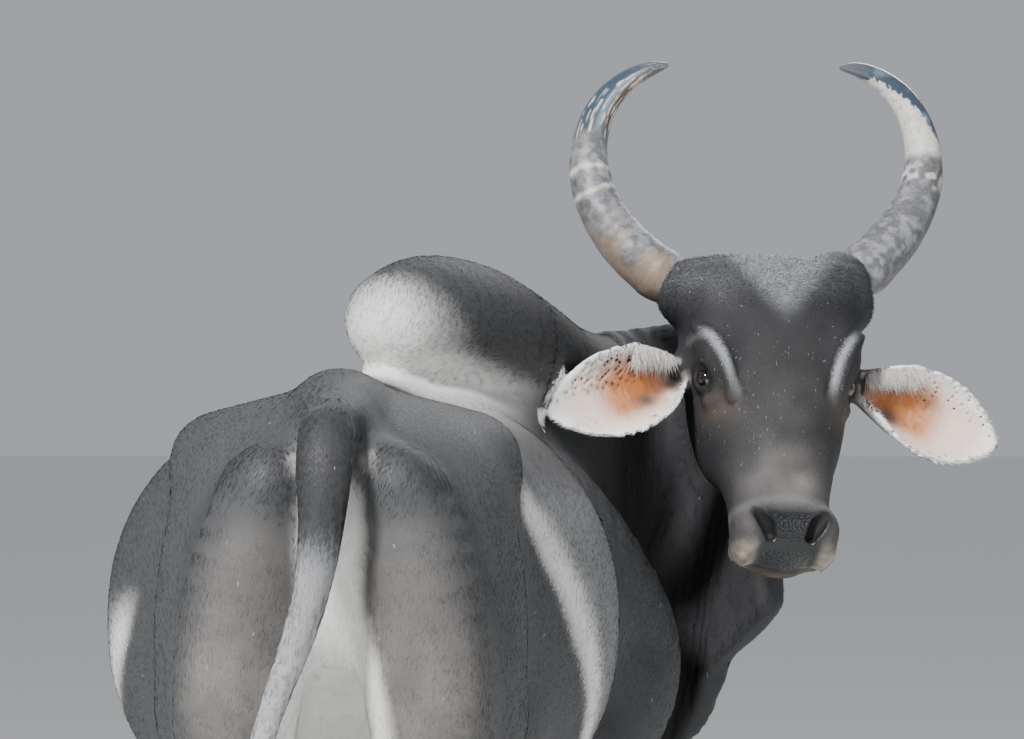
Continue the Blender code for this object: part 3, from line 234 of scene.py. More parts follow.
def spine_shift(along):
    """How far the spine has moved towards +X, and its slope there."""
    bent = np.clip(along - BEND_START, 0.0, BEND_END - BEND_START)
    past = np.maximum(along - BEND_END, 0.0)
    slope = 2 * BEND_RATE * bent
    return BEND_RATE * bent**2 + slope * past, slope


def bend(side, along, up):
    """The place in the world of a point given beside the straight spine."""
    shift, slope = spine_shift(np.asarray(along, float))
    norm = math.hypot(1.0, float(slope))
    return (float(shift) + side / norm, along - side * float(slope) / norm, up)


def unbend(p):
    """World points as side, place along the spine and height. The inverse of bend."""
    along = p[:, 1].copy()
    for _ in range(4):
        shift, slope = spine_shift(along)
        along += ((p[:, 0] - shift) * slope + (p[:, 1] - along)) / (1.0 + slope**2)
    shift, slope = spine_shift(along)
    side = ((p[:, 0] - shift) - (p[:, 1] - along) * slope) / np.sqrt(1.0 + slope**2)
    return np.stack([side, along, p[:, 2]], axis=1)


def head_axes():
    """Rows: across the face from the bull's right to its left, poll to muzzle, and out of the forehead."""
    turn = (Matrix.Rotation(FACE_YAW, 3, "Z") @ Matrix.Rotation(FACE_LEAN, 3, "Y")
            @ Matrix.Rotation(-FACE_TIP, 3, "X"))
    return np.array((turn @ Vector((1, 0, 0)), turn @ Vector((0, 0, -1)), turn @ Vector((0, -1, 0))))


HEAD_AXES = head_axes()


def to_head(p):
    return (p - POLL) @ HEAD_AXES.T


def from_head(q):
    return POLL + np.asarray(q, float) @ HEAD_AXES


def mirrored(q):
    return np.column_stack([np.abs(q[:, 0]), q[:, 1:]])


class Flesh:
    """A soft solid made of forms. Its value at a point is about the distance to the skin."""

    def __init__(self):
        self.forms = []

    def add(self, space, form, blend=0.03):
        self.forms.append((space, *form, blend, False))

    def carve(self, space, form, blend=0.01):
        self.forms.append((space, *form, blend, True))

    def value(self, p):
        """About the distance to the skin at many points, worked out in shares side by side."""
        if len(p) < 2 * SHARE:
            return self.value_here(p)
        with ThreadPoolExecutor(4) as workers:
            return np.concatenate(list(workers.map(self.value_here, np.array_split(p, len(p) // SHARE))))

    def value_here(self, p):
        trunk, head = unbend(p), to_head(p)
        lows = {"world": p.min(axis=0) - REACH}
        highs = {"world": p.max(axis=0) + REACH}
        spaces = {
            "world": p,
            "trunk": trunk,
            "trunk both": mirrored(trunk),
            "head": head,
            "head both": mirrored(head),
        }
        total = np.full(len(p), FAR)
        for space in ("trunk", "trunk both", "head", "head both"):
            lows[space] = spaces[space].min(axis=0) - REACH
            highs[space] = spaces[space].max(axis=0) + REACH
        for space, distance, low, high, blend, carved in self.forms:
            if (lows[space] > high).any() or (highs[space] < low).any():
                continue
            q = spaces[space]
            near = np.all((q > low - REACH) & (q < high + REACH), axis=1)
            if not near.any():
                continue
            found = distance(q[near])
            if carved:
                total[near] = -smooth_min(-total[near], found, blend)
            else:
                total[near] = smooth_min(total[near], found, blend)
        return total

    def settled(self, p, reach=0.001):
        """The points moved on to the skin, and the way out of it there."""
        here = self.value(p)
        steps = np.eye(3) * reach
        slope = np.stack([self.value(p + s) - here for s in steps], axis=1) / reach
        steep = np.maximum(np.sum(slope**2, axis=1), 0.3)
        out = slope / np.maximum(np.linalg.norm(slope, axis=1), 1e-6)[:, None]
        return p - slope * np.clip(here / steep, -0.02, 0.02)[:, None], out


# The bull's flesh

def add_trunk(flesh):
    top = RUMP_HEIGHT
    belly = top - CHEST_DEPTH
    wide = BARREL_HALF_WIDTH
    flesh.add("trunk", loft((
        (-0.84, 0.004, 1.24, 1.20, 2.0),
        (-0.80, 0.10, 1.33, 1.08, 2.0),
        (-0.68, 0.17, top - 0.05, 0.98, 2.0),
        (-0.50, 0.22, top - 0.02, 0.86, 2.0),
        (-0.30, wide - 0.10, top - 0.025, belly + 0.08, 2.1),
        (-0.08, wide - 0.015, top - 0.03, belly + 0.015, 2.2),
        (0.10, wide, top - 0.025, belly - 0.005, 2.2),
        (0.30, wide - 0.04, top - 0.015, belly - 0.01, 1.9),
        (0.50, wide - 0.11, top - 0.03, belly - 0.01, 1.65),
        (0.68, wide - 0.19, top - 0.12, belly + 0.01, 1.7),
        (0.80, 0.12, top - 0.26, belly + 0.08, 2.0),
        (0.86, 0.004, top - 0.42, belly + 0.24, 2.0),
    )), 0.03)
    # Sacrum and the ridge of the loin
    flesh.add("trunk", limb((
        (0.0, -0.80, top - 0.075, 0.036, 0.040),
        (0.0, -0.66, top - 0.045, 0.050, 0.045),
        (0.0, -0.50, top - 0.040, 0.055, 0.045),
        (0.0, -0.20, top - 0.055, 0.060, 0.035),
        (0.0, 0.12, top - 0.050, 0.065, 0.040),
    ), toward=(0, 0, 1)), 0.07)
    # Croup, hook, pin, thigh, hamstring and stifle
    flesh.add("trunk both", ellipsoid((0.125, -0.46, 1.265), (0.125, 0.27, 0.145), tilt=8), 0.05)
    flesh.add("trunk both", ellipsoid((0.226, -0.36, 1.320), (0.052, 0.090, 0.060)), 0.08)
    flesh.add("trunk both", ellipsoid((0.098, -0.800, 1.300), (0.040, 0.052, 0.050)), 0.05)
    flesh.add("trunk both", ellipsoid((0.172, -0.50, 1.04), (0.128, 0.27, 0.33), tilt=-6), 0.05)
    flesh.add("trunk both", limb((
        (0.112, -0.760, 1.27, 0.070, 0.085),
        (0.135, -0.775, 1.12, 0.095, 0.095),
        (0.150, -0.755, 0.95, 0.100, 0.105),
        (0.165, -0.700, 0.78, 0.080, 0.095),
    )), 0.05)
    flesh.add("trunk both", ellipsoid((0.222, -0.24, 0.86), (0.070, 0.085, 0.13), tilt=-15), 0.07)
    # Flank fold from the stifle to the belly
    flesh.add("trunk both", ellipsoid((0.20, -0.14, 0.80), (0.06, 0.14, 0.09)), 0.08)
    # Withers, shoulder blade, upper arm and point of the shoulder
    flesh.add("trunk both", ellipsoid((0.070, 0.34, 1.350), (0.095, 0.22, 0.100)), 0.05)
    flesh.add("trunk both", limb((
        (0.120, 0.42, 1.270, 0.070, 0.110),
        (0.190, 0.52, 1.140, 0.090, 0.150),
        (0.225, 0.64, 1.010, 0.085, 0.120),
        (0.245, 0.62, 0.900, 0.085, 0.110),
        (0.240, 0.54, 0.800, 0.075, 0.105),
    )), 0.06)
    # Breast between the forelegs
    flesh.add("trunk", ellipsoid((0.0, 0.70, 0.86), (0.15, 0.17, 0.20)), 0.08)


def add_hump(flesh):
    """The hump stands on the withers, leans back over them and runs forward into the crest."""
    flesh.add("world", limb((
        (0.066, 0.140, 1.545, 0.092, 0.090),
        (0.110, 0.225, 1.543, 0.118, 0.112),
        (0.170, 0.360, 1.518, 0.130, 0.124),
        (0.238, 0.500, 1.475, 0.124, 0.122),
        (0.305, 0.640, 1.435, 0.106, 0.112),
        (0.375, 0.770, 1.415, 0.085, 0.102),
    ), toward=(0, 0, 1)), 0.035)
    # Its root, which fills it out to the shoulders under its front half
    flesh.add("world", limb((
        (0.170, 0.400, 1.395, 0.095, 0.060),
        (0.240, 0.550, 1.355, 0.100, 0.080),
        (0.315, 0.690, 1.320, 0.100, 0.090),
    ), toward=(0, 0, 1)), 0.08)


NECK_ROWS = (
    (0.160, 0.52, 1.11, 0.180, 0.270),
    (0.260, 0.72, 1.19, 0.155, 0.265),
    (0.365, 0.86, 1.28, 0.132, 0.240),
    (0.485, 0.93, 1.35, 0.115, 0.186),
    (0.600, 0.90, 1.395, 0.110, 0.152),
    (0.676, 0.79, 1.435, 0.105, 0.130),
)


def add_neck(flesh):
    flesh.add("world", limb(NECK_ROWS, toward=(0, 0, 1)), 0.06)
    # The dewlap, from between the forelegs round to the throat
    flesh.add("world", curtain((
        (0.110, 0.46, 0.110, 0.44, 0.615, 0.90, 0.050),
        (0.205, 0.70, 0.190, 0.61, 0.580, 1.00, 0.046),
        (0.325, 0.86, 0.300, 0.72, 0.610, 1.15, 0.034),
        (0.450, 0.93, 0.430, 0.79, 0.690, 1.22, 0.028),
        (0.560, 0.90, 0.555, 0.79, 0.800, 1.26, 0.026),
        (0.640, 0.81, 0.605, 0.74, 0.925, 1.28, 0.028),
        (0.674, 0.73, 0.655, 0.70, 0.980, 1.28, 0.032),
        (0.688, 0.67, 0.694, 0.65, 1.025, 1.26, 0.027),
    )), 0.05)


# Each horn leaves the head at its own place and rise: out, up, first turn, whole turn and how late it turns
HORN_CURVES = {-1: (0.184, -0.019, 38.0, 135.0, 1.29), 1: (0.191, 0.020, 46.0, 148.0, 1.70)}

# The eyeball, and the way that it looks, in the head's axes
EYE_PLACE = np.array((0.123, 0.228, -0.074))
EYE_RADIUS = 0.0205
EYE_LOOK = np.array((0.73, 0.13, 0.67))


def eye_frame():
    """The way that the eye looks, and the ways to its front corner and its lower lid."""
    look = EYE_LOOK / np.linalg.norm(EYE_LOOK)
    front = np.array((0.0, 1.0, 0.0)) - look * look[1]
    front /= np.linalg.norm(front)
    under = np.cross(look, front)
    if under[2] > 0:
        under = -under
    return look, front, under


def eye_point(radius, aside, around):
    """A point at an angle aside from where the eye looks. Around is 0 at the front corner and 90 at the
    lower lid."""
    look, front, under = eye_frame()
    aside, around = math.radians(aside), math.radians(around)
    off = math.cos(around) * front + math.sin(around) * under
    return EYE_PLACE + radius * (math.cos(aside) * look + math.sin(aside) * off)


def eye_arc(radius, arounds, aside, thick):
    """Rows of a limb that runs round the eye. The corners of the lids lie further out than their middles."""
    rows = []
    for around in arounds:
        corner = abs(math.cos(math.radians(around)))
        rows.append((*eye_point(radius, aside + 14.0 * corner, around), thick, thick))
    return rows


def add_head(flesh):
    length = HEAD_LENGTH
    flesh.add("head", loft((
        (-0.006, 0.020, -0.080, -0.110, 2.2),
        (0.004, 0.115, -0.040, -0.150, 2.4),
        (0.030, 0.152, -0.016, -0.180, 2.6),
        (0.100, 0.158, 0.000, -0.215, 2.6),
        (0.180, 0.148, 0.002, -0.240, 2.5),
        (0.260, 0.136, -0.001, -0.242, 2.3),
        (0.330, 0.119, -0.006, -0.222, 2.15),
        (0.400, 0.101, -0.010, -0.186, 2.1),
        (0.450, 0.089, -0.010, -0.160, 2.2),
        (0.490, 0.087, -0.006, -0.150, 2.6),
        (0.524, 0.083, -0.012, -0.145, 2.6),
        (length - 0.018, 0.072, -0.040, -0.130, 2.4),
        (length - 0.004, 0.030, -0.080, -0.110, 2.0),
    )), 0.02)
    # Pads of hair and bone under the horns, brow, orbit, cheek and ear root
    flesh.add("head both", ellipsoid((0.147, 0.062, -0.114), (0.046, 0.050, 0.058)), 0.022)
    for side, (out, rise, *_) in HORN_CURVES.items():
        pad = (side * (out - 0.062), 0.030 - rise, -0.116)
        flesh.add("head", ellipsoid(pad, (0.056, 0.046, 0.060)), 0.03)
    flesh.add("head both", ellipsoid((0.112, 0.180, -0.044), (0.032, 0.050, 0.034)), 0.035)
    flesh.add("head both", limb((
        (0.151, 0.140, -0.050, 0.008, 0.008),
        (0.136, 0.156, -0.028, 0.011, 0.011),
        (0.116, 0.190, -0.016, 0.012, 0.012),
        (0.103, 0.234, -0.018, 0.011, 0.011),
        (0.095, 0.276, -0.030, 0.007, 0.007),
    )), 0.010)
    over_eye = eye_arc(0.043, (-150, -120, -90, -60, -30, -5), 66.0, 0.0085)
    flesh.add("head both", limb(over_eye, toward=(0, 0, 1)), 0.02)
    flesh.add("head both", ellipsoid((0.082, 0.285, -0.155), (0.040, 0.100, 0.074)), 0.04)
    flesh.add("head both", limb((
        (0.120, 0.185, -0.125, 0.036, 0.040),
        (0.160, 0.198, -0.134, 0.023, 0.027),
    ), toward=(0, 1, 0)), 0.03)
    # Muzzle: the wings of the nostrils, hanging corners of the upper lip, and the chin
    flesh.add("head both", ellipsoid((0.060, 0.508, -0.040), (0.033, 0.038, 0.036)), 0.02)
    flesh.add("head both", ellipsoid((0.070, 0.537, -0.074), (0.020, 0.029, 0.036)), 0.02)
    flesh.add("head", ellipsoid((0.0, 0.541, -0.104), (0.056, 0.031, 0.036)), 0.015)
    # Nostrils, mouth line and the hollows that hold the eyes
    flesh.carve("head both", limb((
        (0.037, 0.526, -0.021, 0.010, 0.013),
        (0.048, 0.506, -0.006, 0.013, 0.016),
        (0.061, 0.490, -0.002, 0.008, 0.011),
    ), toward=(0, 0, 1)), 0.006)
    flesh.carve("head both", limb((
        (0.000, 0.574, -0.078, 0.006, 0.007),
        (0.050, 0.566, -0.086, 0.0065, 0.007),
        (0.090, 0.533, -0.102, 0.0070, 0.007),
        (0.096, 0.460, -0.114, 0.005, 0.006),
    ), toward=(0, 0, 1)), 0.006)
    opening = eye_point(EYE_RADIUS + 0.006, 0.0, 0.0)
    flesh.carve("head both", ellipsoid(opening, (0.017, 0.021, 0.017)), 0.012)
    # Upper and lower lids round the eyeball
    rim = EYE_RADIUS + 0.0015
    flesh.add("head both", limb(eye_arc(rim, (180, 225, 270, 315, 360), 56.0, 0.0065)), 0.010)
    flesh.add("head both", limb(eye_arc(rim, (180, 135, 90, 45, 0), 60.0, 0.0055)), 0.010)


EAR_LENGTHS = {-1: 0.308, 1: 0.288}
EAR_ROOT = np.array((0.150, 0.196, -0.132))
EAR_THICKNESS = 0.007
EAR_SWEEP = {-1: 0.40, 1: -0.06}
EAR_FALL = {-1: 0.64, 1: 0.46}
EAR_HALF_WIDTHS = ((0.0, 0.033), (0.15, 0.070), (0.35, 0.096), (0.55, 0.093), (0.75, 0.071), (0.90, 0.041),
                   (1.0, 0.012))


def ear_frame(side):
    """The ear's root, and its ways: along to the tip, into the cup, and down to the lower edge."""
    along = np.array((side, EAR_FALL[side], EAR_SWEEP[side]))
    along /= np.linalg.norm(along)
    cup = np.array((side * 0.10, 0.22, 1.0))
    cup -= along * (cup @ along)
    cup /= np.linalg.norm(cup)
    return EAR_ROOT * (side, 1.0, 1.0), along, cup, np.cross(cup, along) * -side


def ear_place(side, q):
    """Head points in the ear's sheet: share from root to tip, place from edge to edge, depth off it."""
    root, along, cup, down = ear_frame(side)
    share = (q - root) @ along / EAR_LENGTHS[side]
    kept = np.clip(share, 0.0, 1.0)
    half = smooth_curve(kept, *zip(*EAR_HALF_WIDTHS))
    aside = (q - root) @ down - 0.030 * kept**2
    depth = (q - root) @ cup + 0.014
    curl = np.radians(np.where(aside < 0, 125.0, 78.0) * (1.0 - kept) ** 1.2 + 22.0)
    radius = half / curl
    angle = np.arctan2(np.abs(aside), radius - depth)
    off = np.hypot(aside, depth - radius) - radius
    return share, angle / curl * np.sign(aside), off, (aside, depth, radius, curl)


def ear_sheet(side):
    """One ear as a curled sheet that thins to its rim."""
    def distance(q):
        share, over, off, (aside, depth, radius, curl) = ear_place(side, q)
        rim = np.hypot(np.abs(aside) - radius * np.sin(curl), depth - radius * (1.0 - np.cos(curl)))
        flat = np.where(np.abs(over) <= 1.0, np.abs(off), rim)
        beyond = np.maximum(np.maximum(-share, share - 1.0), 0.0) * EAR_LENGTHS[side]
        thick = EAR_THICKNESS * (0.62 - 0.18 * np.clip(np.abs(over), 0.0, 1.0) ** 3)
        return np.hypot(flat, beyond) - thick

    root, along, _, _ = ear_frame(side)
    ends = np.array((root, root + along * EAR_LENGTHS[side]))
    return distance, ends.min(axis=0) - 0.11, ends.max(axis=0) + 0.11


FORE_HEADING = math.radians(-16.0)


def fore_leg_rows(side):
    """Rows down one foreleg. The right foot, at side 1, stands a little further back."""
    foot = bend(side * 0.185, 0.54 - 0.03 * side, 0.0)
    elbow = bend(side * 0.235, 0.51, 0.80)
    drop = ((0.80, 0.085, 0.115), (0.68, 0.070, 0.090), (0.56, 0.055, 0.066), (0.46, 0.048, 0.050),
            (0.41, 0.051, 0.054), (0.36, 0.038, 0.042), (0.26, 0.030, 0.034), (0.185, 0.031, 0.036),
            (0.145, 0.042, 0.046), (0.105, 0.038, 0.040), (0.050, 0.047, 0.056))
    rows = []
    for height, wide, deep in drop:
        share = min(1.0, (0.80 - height) / 0.34)
        ahead = 0.055 * max(0.0, (0.145 - height) / 0.095)
        rows.append((elbow[0] + share * (foot[0] - elbow[0]) - ahead * math.sin(FORE_HEADING),
                     elbow[1] + share * (foot[1] - elbow[1]) + ahead * math.cos(FORE_HEADING),
                     height, wide, deep))
    return rows


def hind_leg_rows(side):
    """Rows down one hind leg. The left leg, at side -1, is set a little forward."""
    shift = 0.035 * (side < 0)
    return [(side * x, y + shift * min(1.0, (0.90 - z) / 0.4), z, wide, deep) for x, y, z, wide, deep in (
        (0.190, -0.47, 0.90, 0.105, 0.170),
        (0.190, -0.55, 0.76, 0.075, 0.120),
        (0.185, -0.645, 0.63, 0.047, 0.075),
        (0.180, -0.700, 0.53, 0.042, 0.062),
        (0.180, -0.712, 0.46, 0.040, 0.052),
        (0.178, -0.700, 0.38, 0.032, 0.040),
        (0.176, -0.685, 0.27, 0.029, 0.035),
        (0.176, -0.672, 0.185, 0.031, 0.037),
        (0.176, -0.668, 0.145, 0.042, 0.046),
        (0.176, -0.645, 0.105, 0.038, 0.040),
        (0.176, -0.612, 0.050, 0.047, 0.056),
    )]


def heel_cord(side):
    """The tendon that runs down to the point of the hock."""
    shift = 0.035 * (side < 0)
    return [(side * x, y + shift, z, r, r) for x, y, z, r in (
        (0.178, -0.745, 0.80, 0.030), (0.180, -0.760, 0.68, 0.020),
        (0.180, -0.768, 0.58, 0.022), (0.180, -0.740, 0.52, 0.024))]


def dew_claws(rows):
    """Two blunt spurs behind the fetlock."""
    fetlock = rows[8]
    for aside in (-0.022, 0.022):
        yield ellipsoid((fetlock[0] + aside, fetlock[1] - 0.046, 0.125), (0.013, 0.015, 0.022))


TAIL_ROWS = (
    (0.000, -0.740, 1.400, 0.040, 0.034),
    (-0.002, -0.850, 1.385, 0.043, 0.036),
    (-0.005, -0.908, 1.330, 0.045, 0.034),
    (-0.009, -0.925, 1.240, 0.037, 0.030),
    (-0.020, -0.930, 1.150, 0.030, 0.027),
    (-0.044, -0.930, 1.060, 0.026, 0.024),
    (-0.077, -0.925, 0.970, 0.021, 0.021),
    (-0.106, -0.918, 0.880, 0.019, 0.019),
    (-0.128, -0.912, 0.780, 0.017, 0.017),
    (-0.138, -0.908, TAIL_BONE_END, 0.014, 0.014),
)
TAIL_DEEP = (0.0, 1.0, 0.3)


def bull_flesh(with_head=True):
    flesh = Flesh()
    add_trunk(flesh)
    add_hump(flesh)
    add_neck(flesh)
    for side in (-1, 1):
        fore, hind = fore_leg_rows(side), hind_leg_rows(side)
        flesh.add("world", limb(fore), 0.035)
        flesh.add("world", limb(hind), 0.035)
        flesh.add("world", limb(heel_cord(side)), 0.02)
        for rows in (fore, hind):
            for spur in dew_claws(rows):
                flesh.add("world", spur, 0.008)
    flesh.add("world", limb(TAIL_ROWS, toward=TAIL_DEEP), 0.02)
    # Sheath under the belly, and the scrotum between the thighs
    flesh.add("trunk", limb((
        (0.0, -0.16, 0.700, 0.050, 0.050),
        (0.0, 0.00, 0.625, 0.042, 0.050),
        (0.0, 0.10, 0.560, 0.030, 0.034),
    ), toward=(0, 0, 1)), 0.06)
    flesh.add("trunk", limb((
        (0.0, -0.46, 0.84, 0.060, 0.060),
        (0.0, -0.475, 0.74, 0.042, 0.045),
        (0.0, -0.480, 0.62, 0.064, 0.058),
        (0.0, -0.482, 0.56, 0.054, 0.050),
    )), 0.03)
    if with_head:
        add_head(flesh)
        for side in (-1, 1):
            flesh.add("head", ear_sheet(side), 0.012)
    return flesh


# Meshing the flesh

def sampled(value, low, high, step):
    """A value on a grid. It is read in full only near its zero level, and coarsely elsewhere."""
    cells = np.ceil((high - low) / (step * COARSE)).astype(int)
    counts = cells + 1
    axes = [low[i] + step * COARSE * np.arange(counts[i]) for i in range(3)]
    corners = np.stack(np.meshgrid(*axes, indexing="ij"), axis=-1).reshape(-1, 3)
    rough = value(corners).reshape(counts)
    near = np.abs(rough) < step * COARSE * 1.7
    grown = near.copy()
    for axis in range(3):
        grown |= np.roll(near, 1, axis) | np.roll(near, -1, axis)
    fine_counts = cells * COARSE + 1
    pick = [np.minimum((np.arange(n) + COARSE // 2) // COARSE, counts[i] - 1)
            for i, n in enumerate(fine_counts)]
    values = rough[np.ix_(*pick)].copy()
    wanted = np.argwhere(grown[np.ix_(*pick)])
    for part in np.array_split(wanted, max(1, len(wanted) // 400000)):
        values[tuple(part.T)] = value(low + step * part)
    return values


def without_pinches(values):
    """The grid with no face whose inside corners meet only across it, which would pinch the surface."""
    for _ in range(6):
        found = False
        for axis in range(3):
            view = np.moveaxis(values, axis, 0)
            a, b, c, d = view[:, :-1, :-1], view[:, 1:, :-1], view[:, 1:, 1:], view[:, :-1, 1:]
            one = (a < 0) & (c < 0) & (b >= 0) & (d >= 0)
            two = (b < 0) & (d < 0) & (a >= 0) & (c >= 0)
            found = found or bool(one.any() or two.any())
            b[one] = -0.0005
            a[two] = -0.0005
        if not found:
            break
    return values


def surface_net(values, low, step):
    """Points and quads of the zero level, one point in each cell that the skin crosses."""
    inside = values < 0
    shape = np.array(values.shape) - 1
    offsets = np.array([(i, j, k) for i in (0, 1) for j in (0, 1) for k in (0, 1)])
    count = sum(inside[tuple(slice(o, o + n) for o, n in zip(offset, shape))].astype(np.int8)
                for offset in offsets)
    crossed = (count > 0) & (count < 8)
    cells = np.argwhere(crossed)
    index = np.full(shape, -1)
    index[crossed] = np.arange(len(cells))
    total, number = np.zeros((len(cells), 3)), np.zeros(len(cells))
    for a in offsets:
        for axis in np.flatnonzero(a == 0):
            b = a + np.eye(3, dtype=int)[axis]
            first = values[tuple((cells + a).T)]
            second = values[tuple((cells + b).T)]
            cut = (first < 0) != (second < 0)
            share = first[cut] / (first[cut] - second[cut])
            total[cut] += cells[cut] + a + share[:, None] * (b - a)
            number[cut] += 1
    points = low + step * total / number[:, None]
    quads = []
    for axis in range(3):
        u, v = np.eye(3, dtype=int)[(axis + 1) % 3], np.eye(3, dtype=int)[(axis + 2) % 3]
        first = np.moveaxis(inside, axis, 0)[:-1]
        second = np.moveaxis(inside, axis, 0)[1:]
        edges = np.argwhere(np.moveaxis(first != second, 0, axis))
        room = np.all((edges - u - v >= 0) & (edges < shape), axis=1)
        edges = edges[room]
        quad = np.stack([index[tuple((edges - o).T)] for o in (0 * u, u, u + v, v)], axis=1)
        outward = inside[tuple(edges.T)]
        quads.append(np.where(outward[:, None], quad, quad[:, ::-1]))
    return points, np.concatenate(quads)


def net_of(value, low, high, step):
    """The zero level inside a box as a closed net."""
    low, high = np.asarray(low, float), np.asarray(high, float)
    values = sampled(value, low, high, step)
    for axis in range(3):
        ends = np.moveaxis(values, axis, 0)
        ends[0], ends[-1] = np.maximum(ends[0], step), np.maximum(ends[-1], step)
    return surface_net(without_pinches(values), low, step)


def evened(points, faces, share=0.5):
    """Each point moved part of the way to the middle of its neighbours."""
    total, number = np.zeros_like(points), np.zeros(len(points))
    size = faces.shape[1]
    for i in range(size):
        for a, b in ((i, (i + 1) % size), ((i + 1) % size, i)):
            np.add.at(total, faces[:, a], points[faces[:, b]])
            np.add.at(number, faces[:, a], 1)
    return points + share * (total / np.maximum(number, 1)[:, None] - points)


# The neck is cut across behind the head by this plane, inside this ball: coarse behind it, fine before it
NECK_CUT = Vector((0.63, 0.865, 1.40))
NECK_CUT_NORMAL = Vector((0.76, -0.557, 0.338)).normalized()
NECK_CUT_BALL = (Vector((0.67, 0.83, 1.25)), 0.345)
NECK_CUT_GAP = 0.012


def opened(points, quads, keep_head):
    """The net as a bmesh that is cut open across the neck, with only the wanted side kept."""
    mesh = bpy.data.meshes.new("Net")
    mesh.from_pydata(points.tolist(), [], quads.tolist())
    bm = bmesh.new()
    bm.from_mesh(mesh)
    bpy.data.meshes.remove(mesh)
    centre, radius = NECK_CUT_BALL
    verts = [v for v in bm.verts if (v.co - centre).length < radius]
    chosen = set(verts)
    edges = [e for e in bm.edges if e.verts[0] in chosen and e.verts[1] in chosen]
    faces = [f for f in bm.faces if all(v in chosen for v in f.verts)]
    place = NECK_CUT + NECK_CUT_NORMAL * (NECK_CUT_GAP / 2 if keep_head else -NECK_CUT_GAP / 2)
    bmesh.ops.bisect_plane(bm, geom=verts + edges + faces, dist=1e-6, plane_co=place,
                           plane_no=NECK_CUT_NORMAL, clear_outer=not keep_head, clear_inner=keep_head)
    seed_place = Vector(from_head((0, 0.3, 0.0))) if keep_head else Vector((0.0, -0.4, RUMP_HEIGHT))
    keep_one_body(bm, seed_place)
    return bm


def keep_one_body(bm, near):
    """Deletes everything that isn't joined to the point nearest to a place."""
    start = min(bm.verts, key=lambda v: (v.co - near).length_squared)
    kept, front = {start}, [start]
    while front:
        vert = front.pop()
        for edge in vert.link_edges:
            other = edge.other_vert(vert)
            if other not in kept:
                kept.add(other)
                front.append(other)
    bmesh.ops.delete(bm, geom=[v for v in bm.verts if v not in kept], context="VERTS")


def joined_skin(body, head):
    """The two open nets bridged into one closed mesh."""
    mesh = bpy.data.meshes.new("Head net")
    head.to_mesh(mesh)
    head.free()
    body.from_mesh(mesh)
    bpy.data.meshes.remove(mesh)
    rims = [e for e in body.edges if e.is_boundary]
    bmesh.ops.bridge_loops(body, edges=rims)
    bmesh.ops.triangulate(body, faces=[f for f in body.faces if len(f.verts) > 4])
    return body


def finer_where(bm, chosen, longest):
    """Splits once the edges longer than a length whose middle is where a function of points says."""
    edges = list(bm.edges)
    ends = np.array([(*edge.verts[0].co, *edge.verts[1].co) for edge in edges])
    long = np.linalg.norm(ends[:, :3] - ends[:, 3:], axis=1) > longest
    wanted = long & chosen((ends[:, :3] + ends[:, 3:]) / 2)
    chosen_edges = [edges[i] for i in np.flatnonzero(wanted)]
    bmesh.ops.subdivide_edges(bm, edges=chosen_edges, cuts=1, use_grid_fill=True)


def near_face_details(p):
    """Round the eyes, nostrils and mouth, whose edges are finer than the rest of the head's."""
    m = mirrored(to_head(p))
    eye = np.linalg.norm(m - EYE_PLACE, axis=1) < 0.050
    muzzle = (m[:, 1] > 0.495) & (m[:, 1] < 0.62) & (m[:, 0] < 0.12) & (m[:, 2] > -0.135)
    return region_of_head(p) & (eye | muzzle)


# Places on the bull, as soft shares from 0 to 1

def ramp(x, start, end):
    """0 before start, 1 after end, smooth between them. Start may be the greater."""
    t = np.clip((x - start) / (end - start), 0.0, 1.0)
    return t * t * (3.0 - 2.0 * t)


def blob(p, centre, radii):
    """A soft spot: 1 at its centre, about a third at its radii."""
    return np.exp(-np.sum(((p - np.asarray(centre)) / np.asarray(radii)) ** 2, axis=1))


NECK_LINE = through(NECK_ROWS)[:, :3]


def along_neck(p):
    """How far round the neck a point is, in metres from the shoulder, and how far off its middle line."""
    rows = NECK_LINE
    best, where = np.full(len(p), 9.0), np.zeros(len(p))
    gone = 0.0
    for a, b in zip(rows[:-1], rows[1:]):
        run = b[:2] - a[:2]
        length = np.linalg.norm(run)
        t = np.clip((p[:, :2] - a[:2]) @ run / length**2, 0.0, 1.0)
        off = np.linalg.norm(p[:, :2] - a[:2] - t[:, None] * run, axis=1)
        nearer = off < best
        best[nearer], where[nearer] = off[nearer], gone + t[nearer] * length
        gone += length
    return where, best


def neck_share(p):
    """The neck and dewlap."""
    where, off = along_neck(p)
    head = to_head(p)
    return ramp(where, 0.05, 0.20) * ramp(off, 0.30, 0.18) * ramp(head[:, 2], -0.19, -0.24)


NOISE = np.random.default_rng(11).random((24, 24, 24))


def noise(p, size):
    """Smooth noise from 0 to 1 with lumps of about a size in metres."""
    q = p / size
    base = np.floor(q).astype(int)
    f = q - base
    f = f * f * (3.0 - 2.0 * f)
    total = np.zeros(len(p))
    for corner in np.ndindex(2, 2, 2):
        at = (base + corner) % 24
        weight = np.prod(np.where(np.array(corner) == 1, f, 1.0 - f), axis=1)
        total += weight * NOISE[at[:, 0], at[:, 1], at[:, 2]]
    return total


def folds(p):
    """How far the skin stands in or out of the flesh, in metres: folds of the neck, dewlap and hide."""
    where, off = along_neck(p)
    neck = neck_share(p)
    wander = 0.030 * noise(p * (1, 1, 0.35), 0.09) + 0.010 * noise(p * (1, 1, 0.5), 0.03)
    crease = np.abs(np.sin(math.pi * (where + wander) / 0.030))
    deep = ramp(where, 0.25, 0.55)
    total = neck * (0.0008 + 0.0030 * deep) * (crease**0.6 - 1.0)
    fine = np.abs(np.sin(math.pi * (where + 1.3 * wander) / 0.0135))
    total += neck * 0.0009 * (fine**0.7 - 1.0)
    return total


